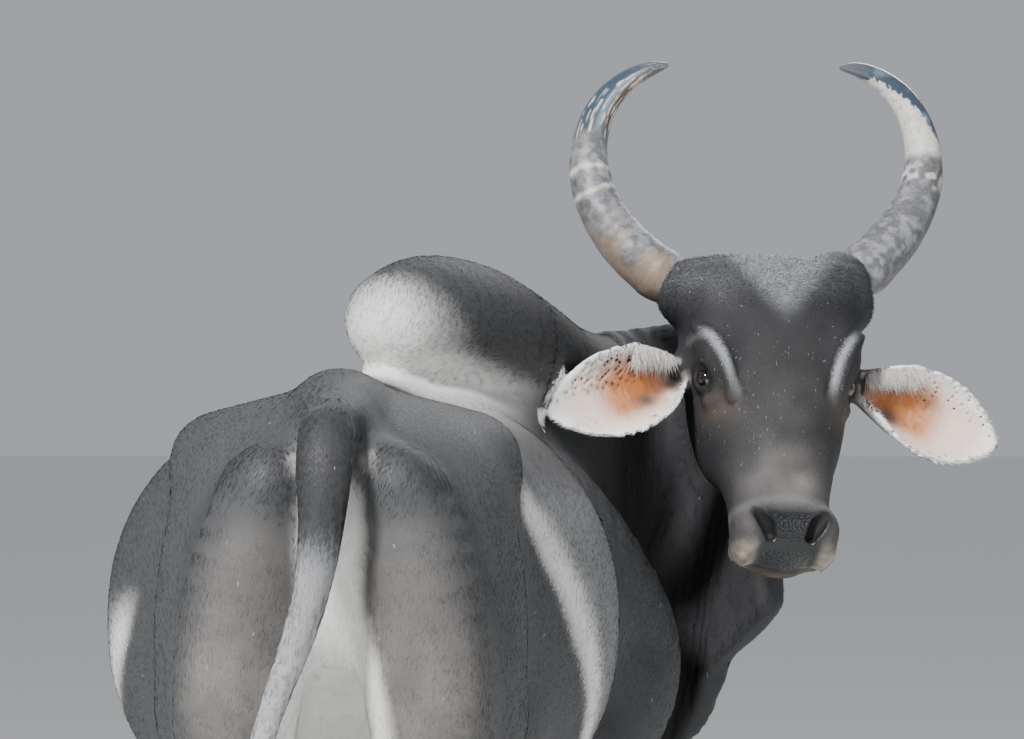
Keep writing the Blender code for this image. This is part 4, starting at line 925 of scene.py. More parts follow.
# Distance below the poll, and how far out from the middle a point may lie and still be the face
FACE_HALF_WIDTHS = ((0.0, 0.25), (0.2, 0.21), (0.4, 0.16), (0.6, 0.13))


def region_of_head(p):
    """Whether points belong to the head: they lie before the neck cut and near the head."""
    q = to_head(p)
    ahead = (p - np.array(NECK_CUT)) @ np.array(NECK_CUT_NORMAL) > 0
    near = np.abs(q[:, 0]) < np.interp(q[:, 1], *zip(*FACE_HALF_WIDTHS))
    for side in (-1, 1):
        share, across, off, _ = ear_place(side, q)
        near |= (np.abs(off) < 0.022) & (np.abs(across) < 1.3) & (share > 0.0) & (share < 1.1)
    return ahead & near & (q[:, 1] > -0.15) & (q[:, 1] < 0.64) & (q[:, 2] > -0.30) & (q[:, 2] < 0.10)


# Colours, as sRGB hex from the animal, turned to linear by one function

def linear(code):
    values = [int(code[i:i + 2], 16) / 255 for i in (1, 3, 5)]
    return np.array([c / 12.92 if c <= 0.04045 else ((c + 0.055) / 1.055) ** 2.4 for c in values])


HIDE = {name: linear(code) for name, code in {
    "charcoal": "#242426",
    "slate": "#3b3c3e",
    "ash": "#595552",
    "taupe": "#7a7571",
    "grizzle": "#8e9094",
    "silver": "#a9a9ab",
    "cream": "#dddbd8",
    "umber": "#5b4d42",
    "black": "#131313",
    "pad": "#1d1e21",
    "lip": "#b5ab9b",
    "sienna": "#6d4128",
    "rust": "#b26c39",
    "rose": "#e2cfc4",
    "white": "#eeebe8",
}.items()}


def over(base, name, share):
    """Lays a hide colour over others by a share from 0 to 1."""
    return base + np.clip(share, 0.0, 1.0)[:, None] * (HIDE[name] - base)


# Where the dark flank gives way to the pale ribs: height, and place along the spine
RIB_EDGE = ((0.60, 0.10), (0.83, 0.0), (0.93, -0.115), (1.02, -0.205), (1.09, -0.255),
            (1.154, -0.305), (1.262, -0.354), (1.34, -0.36))
# Where the pale back of the hump and withers ends: height, and metres ahead along the hump's own line
HUMP_EDGE = ((1.36, 0.26), (1.43, 0.26), (1.47, 0.12), (1.50, 0.02), (1.553, -0.02), (1.62, -0.07),
             (1.66, -0.16))


def tail_share(p):
    """The tail, as a soft share."""
    rows = np.array(TAIL_ROWS)[::-1]
    middle = np.interp(p[:, 2], rows[:, 2], rows[:, 0])
    return ramp(np.abs(p[:, 0] - middle), 0.060, 0.046) * ramp(p[:, 1], -0.868, -0.884) * (p[:, 2] < 1.41)


def body_markings(p):
    """Colours of the body, legs, tail and neck."""
    t = unbend(p)
    side, along, up = t[:, 0], t[:, 1], t[:, 2]
    aside = np.abs(side)
    where, off = along_neck(p)
    mottle = 0.6 * noise(p, 0.10) + 0.4 * noise(p, 0.026)
    colour = np.tile(HIDE["slate"], (len(p), 1))
    # Thighs: brown-grey inside the rounded bulge of the hamstrings, paler and more mottled downwards
    rear = ramp(along, -0.52, -0.74)
    bulge = np.hypot((aside - 0.10) / 0.140, (up - 1.06) / 0.275)
    thigh = rear * ramp(bulge, 1.08, 0.50) + rear * ramp(up, 1.12, 0.95) * ramp(aside, 0.27, 0.20)
    thigh = np.clip(thigh, 0.0, 1.0)
    # Painted shade: a dark arc of charcoal along the upper rim of each hamstring bulge
    rim = np.exp(-((bulge - 1.03) / 0.09) ** 2)
    colour = over(colour, "charcoal", 0.45 * rear * rim * ramp(up, 1.04, 1.20))
    colour = over(colour, "ash", thigh * ramp(up, 1.32, 1.16) * (0.15 + 0.80 * mottle))
    colour = over(colour, "taupe", thigh * ramp(up, 1.20, 0.88) * (0.05 + 0.70 * mottle))
    # Pale twist between the thighs, and the folds beside the tail's root
    twist = 0.048 + 0.045 * ramp(up, 1.15, 0.88) + 0.016 * (mottle - 0.5)
    cleft = ramp(along, -0.30, -0.50)
    twist = ramp(aside, twist + 0.014, twist - 0.016)
    colour = over(colour, "cream", 0.85 * cleft * twist * ramp(up, 1.33, 1.26))
    spot = blob(np.column_stack([aside, along, up]), (0.056, -0.86, 1.332), (0.010, 0.05, 0.017))
    colour = over(colour, "cream", 0.9 * spot)
    # Pale ribs, which end sharply at the flank and fade into the shoulder
    edge = np.interp(up, *zip(*RIB_EDGE))
    ribs = ramp(along - edge, -0.012, 0.020) * ramp(along, 0.40, 0.20) * ramp(up, 1.32, 1.22)
    ribs = ribs * np.where(side < 0, ramp(up, 1.12, 1.02), 1.0)
    colour = over(colour, "silver", 0.30 * ribs)
    colour = over(colour, "cream", ribs * 0.85 * np.exp(-((along - edge - 0.055) / 0.052) ** 2))
    belly = ramp(up, 0.80, 0.68) * ramp(along, 0.75, 0.45) * ramp(along, -0.5, -0.3)
    colour = over(colour, "silver", 0.8 * belly)
    # Neck, shoulder and dewlap
    neck = ramp(where, 0.02, 0.22) * ramp(off, 0.36, 0.20)
    colour = over(colour, "charcoal", 0.75 * neck)
    colour = over(colour, "ash", 0.30 * neck * ramp(where, 0.45, 0.15) * noise(p * (1, 1, 0.3), 0.02))
    # Hump and withers: dark above and in front, white behind and below
    ahead = (p[:, 0] - 0.066) * 0.44 + (p[:, 1] - 0.14) * 0.898
    limit = np.interp(up, *zip(*HUMP_EDGE)) + 0.02 * (mottle - 0.5)
    soft = 0.085 + 0.02 * ramp(up, 1.50, 1.44)
    white = np.clip(0.5 - (ahead - limit) / (2 * soft), 0.0, 1.0)
    white = white * white * (3.0 - 2.0 * white) * ramp(up, 1.34, 1.45) * ramp(along, -0.14, 0.06)
    colour = over(colour, "cream", 0.85 * white)
    colour = over(colour, "charcoal", 0.35 * ramp(up, 1.44, 1.50) * (1.0 - white))
    # Legs: dark knees, cannons and pasterns
    colour = over(colour, "slate", 0.8 * ramp(up, 0.66, 0.50))
    colour = over(colour, "charcoal", 0.7 * ramp(up, 0.14, 0.09))
    # Tail: dark at its root, mottled silver below, black above the switch
    tail = tail_share(p)
    colour = over(colour, "slate", tail)
    colour = over(colour, "charcoal", 0.8 * tail * ramp(up, 1.18, 1.26))
    colour = over(colour, "silver", tail * ramp(up, 1.23, 1.14) * (0.25 + 0.75 * mottle))
    colour = over(colour, "charcoal", tail * ramp(up, 0.86, 0.74))
    return colour


# The brow ridges, where a painted highlight lies over each eye, side by side in the head's axes: out from
# the middle, and below the poll
BROWS = {
    -1: ((0.151, 0.152), (0.132, 0.172), (0.116, 0.200), (0.104, 0.226), (0.092, 0.256), (0.084, 0.280)),
    1: ((0.136, 0.142), (0.116, 0.168), (0.101, 0.193), (0.092, 0.220), (0.086, 0.248), (0.080, 0.272)),
}
NOSTRIL_LINE = ((0.037, 0.526), (0.048, 0.506), (0.061, 0.490))


def off_line(spots, line):
    """How far flat points are from a broken line, and how far along it as a share."""
    best, share = np.full(len(spots), 9.0), np.zeros(len(spots))
    line = np.asarray(line, float)
    for i, (a, b) in enumerate(zip(line[:-1], line[1:])):
        run = b - a
        t = np.clip((spots - a) @ run / (run @ run), 0.0, 1.0)
        off = np.linalg.norm(spots - a - t[:, None] * run, axis=1)
        nearer = off < best
        best[nearer], share[nearer] = off[nearer], (i + t[nearer]) / (len(line) - 1)
    return best, share


def head_markings(p):
    """Colours of the head and ears."""
    q = to_head(p)
    m = mirrored(q)
    fine = noise(p, 0.0035)
    patch = noise(p, 0.030)
    colour = np.tile(HIDE["charcoal"], (len(p), 1))
    colour = over(colour, "ash", 0.35 * blob(q, (0, 0.34, 0), (0.085, 0.14, 0.09)) * patch)
    # The grizzled V of the forehead, and light tips over the whole poll
    vee = ramp(m[:, 0] - 0.098 * (1.0 - q[:, 1] / 0.135), 0.030, -0.026) * ramp(q[:, 1], 0.16, 0.09)
    poll = ramp(q[:, 1], 0.12, 0.02)
    colour = over(colour, "grizzle", np.clip(0.46 * vee + 0.14 * poll, 0, 1) * (0.45 + 0.9 * fine))
    # Nose bridge, faint ring over the muzzle, pale outer lips, chin and wet pad
    colour = over(colour, "taupe", 0.50 * blob(q, (0, 0.425, 0), (0.085, 0.045, 0.08)) * (0.5 + patch))
    ring = np.exp(-((q[:, 1] - 0.462 - 2.0 * m[:, 0] ** 2) / 0.011) ** 2)
    colour = over(colour, "silver", 0.16 * ring * (0.6 + 0.6 * fine))
    beside_pad = m[:, 0] - pad_half_width(q[:, 1])
    outer = ramp(beside_pad, -0.002, 0.016)
    colour = over(colour, "taupe", 0.22 * outer * ramp(q[:, 1], 0.455, 0.485))
    colour = over(colour, "lip", outer * ramp(q[:, 1], 0.525, 0.562) * (0.15 + 0.6 * noise(p, 0.012)))
    colour = over(colour, "umber", 0.7 * ramp(q[:, 2], -0.082, -0.095) * ramp(q[:, 1], 0.46, 0.50))
    colour = over(colour, "pad", wet_share(q))
    # Dark lids and the brown skin round them
    gap = np.linalg.norm(m - EYE_PLACE, axis=1)
    colour = over(colour, "umber", 0.40 * blob(m, (0.112, 0.285, -0.06), (0.035, 0.030, 0.06)))
    colour = over(colour, "black", ramp(gap, 0.042, 0.028))
    # Painted highlight along each brow ridge, brightest along its middle, and painted shade in the crease
    # above it
    for side, line in BROWS.items():
        spots = np.column_stack([m[:, 0], m[:, 1]])
        far, share = off_line(spots, line)
        mine = (q[:, 0] * side > 0) & (q[:, 2] > -0.10)
        light = np.exp(-(far / 0.0080) ** 4) * ramp(share, -0.05, 0.20) * ramp(share, 1.05, 0.70)
        colour = over(colour, "grizzle", mine * 0.55 * light)
        brow_highlight = light * np.exp(-(far / 0.005) ** 2) * ramp(share, 0.9, 0.5)
        colour = over(colour, "white", mine * 0.12 * brow_highlight)
        # Painted shade: a black line in the crease on the ridge's upper, inner side
        crease, _ = off_line(spots + (0.0105, 0.0085), line)
        colour = over(colour, "black", mine * 0.75 * np.exp(-(crease / 0.0035) ** 2))
    # Painted shade: black in the nostrils' openings
    nostril, _ = off_line(m[:, :2], NOSTRIL_LINE)
    colour = over(colour, "black", ramp(nostril, 0.015, 0.009) * (q[:, 2] > -0.07))
    for side in (-1, 1):
        share, across, off, _ = ear_place(side, q)
        here = (np.abs(off) < 0.012) * (np.abs(across) < 1.3) * (share < 1.1) * (q[:, 0] * side > 0)
        here = here * ramp(share, 0.02, 0.08)
        inner = here * (off < 0)
        stripe = noise(np.column_stack([share * 0.05, across * 0.05, share]), 0.012)
        at = np.column_stack([share, across])
        orange = np.exp(-((at[:, 0] - 0.36) / 0.27) ** 4 - ((at[:, 1] - 0.22 + 0.3 * at[:, 0]) / 0.58) ** 4)
        # brown: where painted shade falls under the curled upper rim, over the orange of the fold
        brown = np.exp(-((at[:, 0] - 0.22) / 0.17) ** 2 - ((at[:, 1] - 0.42) / 0.26) ** 2)
        grey = np.exp(-((at[:, 0] - 0.33) / 0.09) ** 2 - ((at[:, 1] + 0.24) / 0.20) ** 2)
        colour = over(colour, "slate", here * (off >= 0))
        colour = over(colour, "rose", inner)
        colour = over(colour, "rust", inner * orange * (0.80 + 0.45 * stripe))
        # Painted shade: dark sienna in the fold under the curled upper rim
        colour = over(colour, "sienna", 0.8 * inner * brown)
        colour = over(colour, "slate", 0.85 * inner * grey)
        colour = over(colour, "charcoal", 0.95 * inner * ramp(share, 0.19, 0.08))
        rim = ramp(np.abs(across), 0.70, 0.95) + ramp(share, 0.84, 0.97)
        colour = over(colour, "white", here * np.clip(rim, 0, 1) * ramp(share, 0.06, 0.15))
    return colour


def pad_half_width(below):
    """Half the width of the bare wet pad at a distance below the poll."""
    return np.interp(below, (0.485, 0.500, 0.535, 0.570), (0.066, 0.070, 0.050, 0.048))


def wet_share(q):
    """The bare wet pad between and round the nostrils, in head points."""
    inside = ramp(np.abs(q[:, 0]) - pad_half_width(q[:, 1]), 0.005, -0.006)
    nostril, _ = off_line(np.abs(q[:, :2]), NOSTRIL_LINE)
    return inside * ramp(q[:, 1], 0.478, 0.492) * ramp(q[:, 2], -0.092, -0.076) * ramp(nostril, 0.010, 0.014)


def markings(p):
    """The colour of the skin and coat at points of the source's frame."""
    colour = body_markings(p)
    head = region_of_head(p)
    if head.any():
        blend = ramp(to_head(p[head])[:, 2], -0.26, -0.20)[:, None]
        colour[head] += blend * (head_markings(p[head]) - colour[head])
    speckle = 0.88 + 0.14 * noise(p, 0.006) + 0.10 * noise(p, 0.03)
    return np.clip(colour * speckle[:, None], 0.0, 1.0)


# The way into the row's frame

eye_low, eye_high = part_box("eye_left")
SHIFT = (np.array(eye_low) + np.array(eye_high)) / 2 - from_head(EYE_PLACE)


def to_row(points):
    return np.asarray(points, float) + SHIFT


# Camera, light and floor

def look(thing, place, direction):
    """Places a camera or light, level, looking along a direction."""
    thing.location = place
    thing.rotation_euler = Vector(direction).to_track_quat("-Z", "Y").to_euler()


def make_camera():
    """A long lens a dozen metres behind the bull, a little over its back."""
    camera = bpy.data.objects.new("Camera", bpy.data.cameras.new("Camera"))
    bpy.context.scene.collection.objects.link(camera)
    camera.data.sensor_width = 36.0
    camera.data.lens = 270.0
    camera.data.clip_start = 0.5
    camera.data.clip_end = 200.0
    heading, drop = math.radians(1.64), math.radians(0.61)
    look(camera, to_row((0.628, -12.834, 1.60)),
         (-math.sin(heading) * math.cos(drop), math.cos(heading) * math.cos(drop), -math.sin(drop)))
    bpy.context.scene.camera = camera


def make_light():
    """A soft box high on the left as the sun's stand-in, a weaker one on the right, and a pale room."""
    for name, place, size, power in (
        ("Key light", (-2.6, -5.6, 6.4), 1.3, 1500.0),
        ("Fill light", (5.0, -4.0, 3.0), 4.0, 90.0),
        ("Back light", (1.5, 5.0, 4.5), 3.0, 180.0),
    ):
        lamp = bpy.data.objects.new(name, bpy.data.lights.new(name, "AREA"))
        lamp.data.shape = "DISK"
        lamp.data.size = size
        lamp.data.energy = power
        bpy.context.scene.collection.objects.link(lamp)
        look(lamp, Vector(place), Vector((0.1, 0.0, 1.2)) - Vector(place))
    world = bpy.data.worlds.new("Room")
    world.use_nodes = True
    world.node_tree.nodes["Background"].inputs["Color"].default_value = (0.80, 0.84, 0.90, 1.0)
    world.node_tree.nodes["Background"].inputs["Strength"].default_value = 0.50
    bpy.context.scene.world = world


def make_floor():
    """A plain pale floor."""
    bm = bmesh.new()
    bmesh.ops.create_grid(bm, x_segments=1, y_segments=1, size=60.0)
    floor = object_from(bm, "Floor")
    paint(floor, plain_material("Painted studio floor", "#ecedea", 0.85))


# Mesh and material tools

def object_from(bm, name):
    mesh = bpy.data.meshes.new(name)
    bm.to_mesh(mesh)
    bm.free()
    made = bpy.data.objects.new(name, mesh)
    bpy.context.scene.collection.objects.link(made)
    return made


def mesh_piece(name, points, faces, smooth=True):
    """A mesh object in the row's frame from points of the source's frame."""
    mesh = bpy.data.meshes.new(name)
    mesh.from_pydata(to_row(points).tolist(), [], np.asarray(faces).tolist())
    mesh.update()
    made = bpy.data.objects.new(name, mesh)
    bpy.context.scene.collection.objects.link(made)
    if smooth:
        mesh.shade_smooth()
    return made


def paint(thing, material):
    thing.data.materials.clear()
    thing.data.materials.append(material)


def store(mesh, name, kind, domain, values):
    """Writes an attribute of the mesh."""
    field = {"FLOAT": "value", "FLOAT_COLOR": "color", "FLOAT_VECTOR": "vector"}
    made = mesh.attributes.new(name, kind, domain)
    values = np.asarray(values, np.float32)
    if kind == "FLOAT_COLOR":
        values = np.column_stack([values, np.ones(len(values), np.float32)])
    made.data.foreach_set(field[kind], np.ascontiguousarray(values).ravel())


def add_node(tree, kind, settings=(), links=()):
    """One node with its settings, which are properties or input values, and links into its inputs."""
    node = tree.nodes.new(kind)
    for key, value in dict(settings).items():
        if isinstance(key, str) and hasattr(node, key):
            setattr(node, key, value)
        else:
            node.inputs[key].default_value = value
    for key, source in dict(links).items():
        tree.links.new(source, node.inputs[key])
    return node


def new_material(name):
    material = bpy.data.materials.new(name)
    material.use_nodes = True
    return material, material.node_tree, material.node_tree.nodes["Principled BSDF"]


def plain_material(name, code, roughness):
    material, _, shader = new_material(name)
    shader.inputs["Base Color"].default_value = (*linear(code), 1.0)
    shader.inputs["Roughness"].default_value = roughness
    return material


def hide_material():
    """Short sleek hair over skin: satin, with a fine grain, and wet pebbled leather on the nose pad."""
    material, tree, shader = new_material("Cattle hide")
    tint = add_node(tree, "ShaderNodeAttribute", {"attribute_name": "tint"})
    wet = add_node(tree, "ShaderNodeAttribute", {"attribute_name": "wet"})
    where = add_node(tree, "ShaderNodeTexCoord")
    grain = add_node(tree, "ShaderNodeTexNoise", {"Scale": 420.0, "Detail": 3.0, "Roughness": 0.6},
                     {"Vector": where.outputs["Object"]})
    pebble = add_node(tree, "ShaderNodeTexVoronoi", {"Scale": 190.0, "Randomness": 0.8},
                      {"Vector": where.outputs["Object"]})
    rough = add_node(tree, "ShaderNodeMapRange", {"To Min": 0.72, "To Max": 0.14},
                     {"Value": wet.outputs["Fac"]})
    mixed = add_node(tree, "ShaderNodeMix", {"data_type": "FLOAT"})
    tree.links.new(wet.outputs["Fac"], mixed.inputs[0])
    tree.links.new(grain.outputs["Fac"], mixed.inputs[2])
    tree.links.new(pebble.outputs["Distance"], mixed.inputs[3])
    bump = add_node(tree, "ShaderNodeBump", {"Strength": 0.55, "Distance": 0.0016},
                    {"Height": mixed.outputs[0]})
    tree.links.new(tint.outputs["Color"], shader.inputs["Base Color"])
    tree.links.new(rough.outputs["Result"], shader.inputs["Roughness"])
    tree.links.new(bump.outputs["Normal"], shader.inputs["Normal"])
    shader.inputs["Specular IOR Level"].default_value = 0.32
    return material


def hair_material(name="Cattle hair", roughness=0.58):
    """Hair keratin: a soft gloss along each tuft, tinted by the markings at its root."""
    material, tree, shader = new_material(name)
    tint = add_node(tree, "ShaderNodeAttribute", {"attribute_name": "tint"})
    tree.links.new(tint.outputs["Color"], shader.inputs["Base Color"])
    shader.inputs["Roughness"].default_value = roughness
    shader.inputs["Specular IOR Level"].default_value = 0.32
    return material


# The skin

FLESH_NODES = ["torso", "hump", "neck", "head", "sheath", "scrotum", "tail_base", "tail_lower",
               "ear_left", "ear_right"]
FLESH_NODES += [f"{end}leg_{hand}_{part}" for end in ("fore", "hind") for hand in ("left", "right")
                for part in ("upper", "lower")]
CLAW_TOP = 0.066
HEAD_BOX = ((-0.46, -0.10, -0.46), (0.46, 0.84, 0.16))


def make_skin():
    """The body's coarse net and the head's fine one, joined behind the head and set on the flesh."""
    flesh = bull_flesh()
    bare = bull_flesh(with_head=False)

    def above_hooves(p):
        return np.maximum(bare.value(p), CLAW_TOP - 0.006 - p[:, 2])

    body = opened(*net_of(above_hooves, (-0.52, -1.03, 0.0), (0.90, 1.20, 1.78), BODY_STEP), keep_head=False)

    def before_cut(q):
        p = from_head(q)
        behind = (np.array(NECK_CUT) - p) @ np.array(NECK_CUT_NORMAL) - 4 * HEAD_STEP
        return np.maximum(flesh.value(p), behind)

    points, quads = net_of(before_cut, *HEAD_BOX, HEAD_STEP)
    head = opened(from_head(points), quads, keep_head=True)
    for face in head.faces:
        face.normal_flip()
    skin = joined_skin(body, head)
    finer_where(skin, lambda p: neck_share(p) > 0.45, 0.65 * BODY_STEP)
    finer_where(skin, near_face_details, 0.55 * HEAD_STEP)
    bmesh.ops.triangulate(skin, faces=skin.faces)
    bmesh.ops.recalc_face_normals(skin, faces=skin.faces)
    skin.verts.ensure_lookup_table()
    points = np.array([v.co[:] for v in skin.verts])
    faces = np.array([[v.index for v in f.verts] for f in skin.faces])
    skin.free()
    cut_off = points[:, 2] < CLAW_TOP + 0.012
    for _ in range(2):
        settled, out = flesh.settled(evened(points, faces, 0.45))
        points = np.where(cut_off[:, None], points, settled)
    settled, out = flesh.settled(points)
    points = np.where(cut_off[:, None], points, settled + out * folds(points)[:, None])
    return points, facing_out(points, faces, out)


def facing_out(points, faces, out):
    """The faces, each wound so that it looks the way out of the flesh at its corners."""
    a, b, c = (points[faces[:, i]] for i in range(3))
    inward = np.sum(np.cross(b - a, c - a) * out[faces].sum(axis=1), axis=1) < 0
    return np.where(inward[:, None], faces[:, ::-1], faces)


def body_normals(points, faces):
    a, b, c = (points[faces[:, i]] for i in range(3))
    normal = np.cross(b - a, c - a)
    total = np.zeros_like(points)
    for i in range(3):
        np.add.at(total, faces[:, i], normal)
    return total / np.maximum(np.linalg.norm(total, axis=1), 1e-12)[:, None]


def skin_piece(points, faces):
    """The skin with its markings, in place of all nodes of flesh."""
    skin = mesh_piece("skin", points, faces)
    store(skin.data, "tint", "FLOAT_COLOR", "POINT", markings(points))
    wet = np.where(region_of_head(points), wet_share(to_head(points)), 0.0)
    store(skin.data, "wet", "FLOAT", "POINT", wet)
    paint(skin, hide_material())
    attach(skin, "root")
    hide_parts(*FLESH_NODES)


# Regions of the coat: how dense it is, how its tufts lie, and where they are on an unwrap

def rounds(x, y):
    """An angle as a share of a full turn, from 0 to 1."""
    return np.arctan2(x, y) / math.tau + 0.5


def leg_shares(p):
    """Which leg is nearest, as 0 to 3, and how far each point is round it."""
    best, which, turn = np.full(len(p), 9.0), np.zeros(len(p), int), np.zeros(len(p))
    for i, (side, rows_of) in enumerate(((-1, fore_leg_rows), (1, fore_leg_rows), (-1, hind_leg_rows),
                                         (1, hind_leg_rows))):
        rows = np.array(rows_of(side))[::-1]
        x, y = (np.interp(p[:, 2], rows[:, 2], rows[:, column]) for column in (0, 1))
        off = np.hypot(p[:, 0] - x, p[:, 1] - y)
        nearer = off < best
        best[nearer], which[nearer] = off[nearer], i
        turn[nearer] = rounds(p[nearer, 0] - x[nearer], p[nearer, 1] - y[nearer])
    return which, turn


def region_of(p):
    """The name of the part of the coat that each point belongs to."""
    t, q = unbend(p), to_head(p)
    where, off = along_neck(p)
    names = np.full(len(p), "barrel", dtype=object)
    names[t[:, 1] < -0.33] = "hind"
    names[(t[:, 1] > 0.36) | ((p[:, 2] > 1.42) & (t[:, 1] > 0.0))] = "shoulder"
    names[(neck_share(p) > 0.5) | ((where > 0.10) & (off < 0.20) & (t[:, 1] > 0.62))] = "neck"
    names[(p[:, 2] < 0.66)] = "legs"
    names[(p[:, 2] < 0.66) & (t[:, 1] > -0.24) & (t[:, 1] < 0.30)] = "barrel"
    names[(p[:, 2] > 0.62) & (p[:, 1] < -0.872) & (np.abs(p[:, 0] + 0.06) < 0.12)] = "tail"
    head = region_of_head(p) & (q[:, 2] > -0.235)
    names[head] = "head"
    for side in (-1, 1):
        share, across, off, _ = ear_place(side, q)
        ear = head & (share > 0.05) & (share < 1.1) & (np.abs(off) < 0.016) & (np.abs(across) < 1.3)
        names[ear] = "ears"
    return names


def unwrap(name, p):
    """Places from 0 to 1 on the region's own unwrap: round it and along it."""
    t, q = unbend(p), to_head(p)
    if name == "head":
        return np.column_stack([rounds(q[:, 0], q[:, 2] + 0.11), (q[:, 1] + 0.06) / 0.70])
    if name == "ears":
        right = q[:, 0] < 0
        place = np.zeros((len(p), 2))
        for side, mine, left_edge in ((-1, right, 0.0), (1, ~right, 0.5)):
            share, across, off, _ = ear_place(side, q[mine])
            fold = np.where(off < 0, 0.25 + 0.12 * across, -0.12 * across) + 0.125
            place[mine] = np.column_stack([left_edge + np.mod(fold, 0.5), np.clip(share, 0.0, 1.1) / 1.1])
        return place
    if name == "legs":
        which, turn = leg_shares(p)
        return np.column_stack([(which + turn) / 4.0, p[:, 2] / 0.70])
    if name == "tail":
        return np.column_stack([rounds(p[:, 0] + 0.06, p[:, 1] + 0.92), (p[:, 2] - 0.6) / 0.9])
    if name == "neck":
        where, _ = along_neck(p)
        return np.column_stack([(p[:, 2] - 0.5) / 1.2, where / 1.1])
    low, high = {"hind": (-1.0, -0.2), "barrel": (-0.4, 0.45), "shoulder": (-0.1, 1.0)}[name]
    return np.column_stack([rounds(t[:, 0], t[:, 2] - 1.0), (t[:, 1] - low) / (high - low)])


def lie_of(name, p):
    """The way that the hair points, before it is laid on the skin."""
    t, q = unbend(p), to_head(p)
    shift, slope = spine_shift(t[:, 1])
    ahead = np.column_stack([slope, np.ones(len(p)), np.zeros(len(p))]) / np.hypot(1.0, slope)[:, None]
    down = np.array((0.0, 0.0, -1.0))
    if name == "head":
        reach = np.hypot(q[:, 0], q[:, 1] - 0.10) + 0.01
        turn = np.column_stack([0.8 * q[:, 0] / reach, (q[:, 1] - 0.10) / reach,
                                -0.5 * ramp(np.abs(q[:, 0]), 0.06, 0.12)])
        return turn @ HEAD_AXES
    if name == "ears":
        lie = np.zeros((len(p), 3))
        for side in (-1, 1):
            mine = q[:, 0] * side > 0
            lie[mine] = ear_frame(side)[1]
        return lie @ HEAD_AXES
    if name in ("legs", "tail"):
        return np.tile(down + np.array((0.0, -0.10, 0.0)), (len(p), 1))
    if name == "neck":
        where, _ = along_neck(p)
        onward = NECK_LINE[1:] - NECK_LINE[:-1]
        steps = np.concatenate([[0.0], np.cumsum(np.linalg.norm(onward[:, :2], axis=1))])
        i = np.clip(np.searchsorted(steps, where) - 1, 0, len(onward) - 1)
        back = -onward[i] / np.linalg.norm(onward[i], axis=1)[:, None]
        return 0.5 * back + down
    if name == "hind":
        rear = ramp(t[:, 1], -0.55, -0.80)[:, None]
        return -ahead * (1.0 - 0.75 * rear) + down * (0.45 + 0.55 * rear)
    return -ahead + 0.55 * down


# Each region's number of tufts, and a tuft's length, width and thickness and how steeply it stands
COATS = {
    "hind": (48000, 0.0150, 0.0030, 0.0003, 3.0),
    "barrel": (48000, 0.0160, 0.0032, 0.0003, 3.0),
    "shoulder": (46000, 0.0145, 0.0030, 0.0003, 3.2),
    "neck": (44000, 0.0130, 0.0026, 0.0003, 3.6),
    "head": (49500, 0.0075, 0.0016, 0.0003, 5.0),
    "ears": (40000, 0.0075, 0.0010, 0.0002, 3.5),
    "legs": (28000, 0.0110, 0.0028, 0.0003, 3.0),
    "tail": (12000, 0.0130, 0.0022, 0.0003, 3.5),
}
TUFT_PATCH = 0.003


def spread_roots(points, faces, count, draw):
    """Places spread evenly over triangles, and the number of the triangle that each is on."""
    a, b, c = (points[faces[:, i]] for i in range(3))
    area = np.linalg.norm(np.cross(b - a, c - a), axis=1) / 2
    total = np.cumsum(area)
    marks = (np.arange(count) + draw.random(count)) * total[-1] / count
    which = np.searchsorted(total, marks).clip(0, len(faces) - 1)
    u, v = draw.random(count), draw.random(count)
    flip = u + v > 1.0
    u[flip], v[flip] = 1.0 - u[flip], 1.0 - v[flip]
    return a[which] + u[:, None] * (b - a)[which] + v[:, None] * (c - a)[which], which, (u, v)


def laid(lie, normal):
    """The lie turned on to the skin, one unit long."""
    flat = lie - normal * np.sum(lie * normal, axis=1)[:, None]
    return flat / np.maximum(np.linalg.norm(flat, axis=1), 1e-6)[:, None]


def turns_of(lie, normal, lift):
    """Euler angles that put a tuft's Y along the lie, lifted off the skin, and its Z out of it."""
    rise = np.radians(lift)[:, None]
    y = np.cos(rise) * lie + np.sin(rise) * normal
    z = np.cos(rise) * normal - np.sin(rise) * lie
    x = np.cross(y, z)
    return np.column_stack([np.arctan2(y[:, 2], z[:, 2]), -np.arcsin(x[:, 2].clip(-1.0, 1.0)),
                            np.arctan2(x[:, 1], x[:, 0])])


def tuft_mesh():
    """A flat pointed tuft one unit long: a root, two raised edges and a tip."""
    corners = ((0, 0, 0), (-0.5, 0.42, 1.0), (0.5, 0.42, 1.0), (0, 1, 0.3))
    faces = ((0, 2, 1), (1, 2, 3), (0, 1, 3), (0, 3, 2))
    mesh = bpy.data.meshes.new("Tuft")
    mesh.from_pydata(corners, [], faces)
    patch = mesh.attributes.new("patch", "FLOAT_VECTOR", "CORNER")
    places = [(corners[v][0] + 0.5, corners[v][1], 0.0) for face in faces for v in face]
    patch.data.foreach_set("vector", np.array(places, np.float32).ravel())
    return mesh


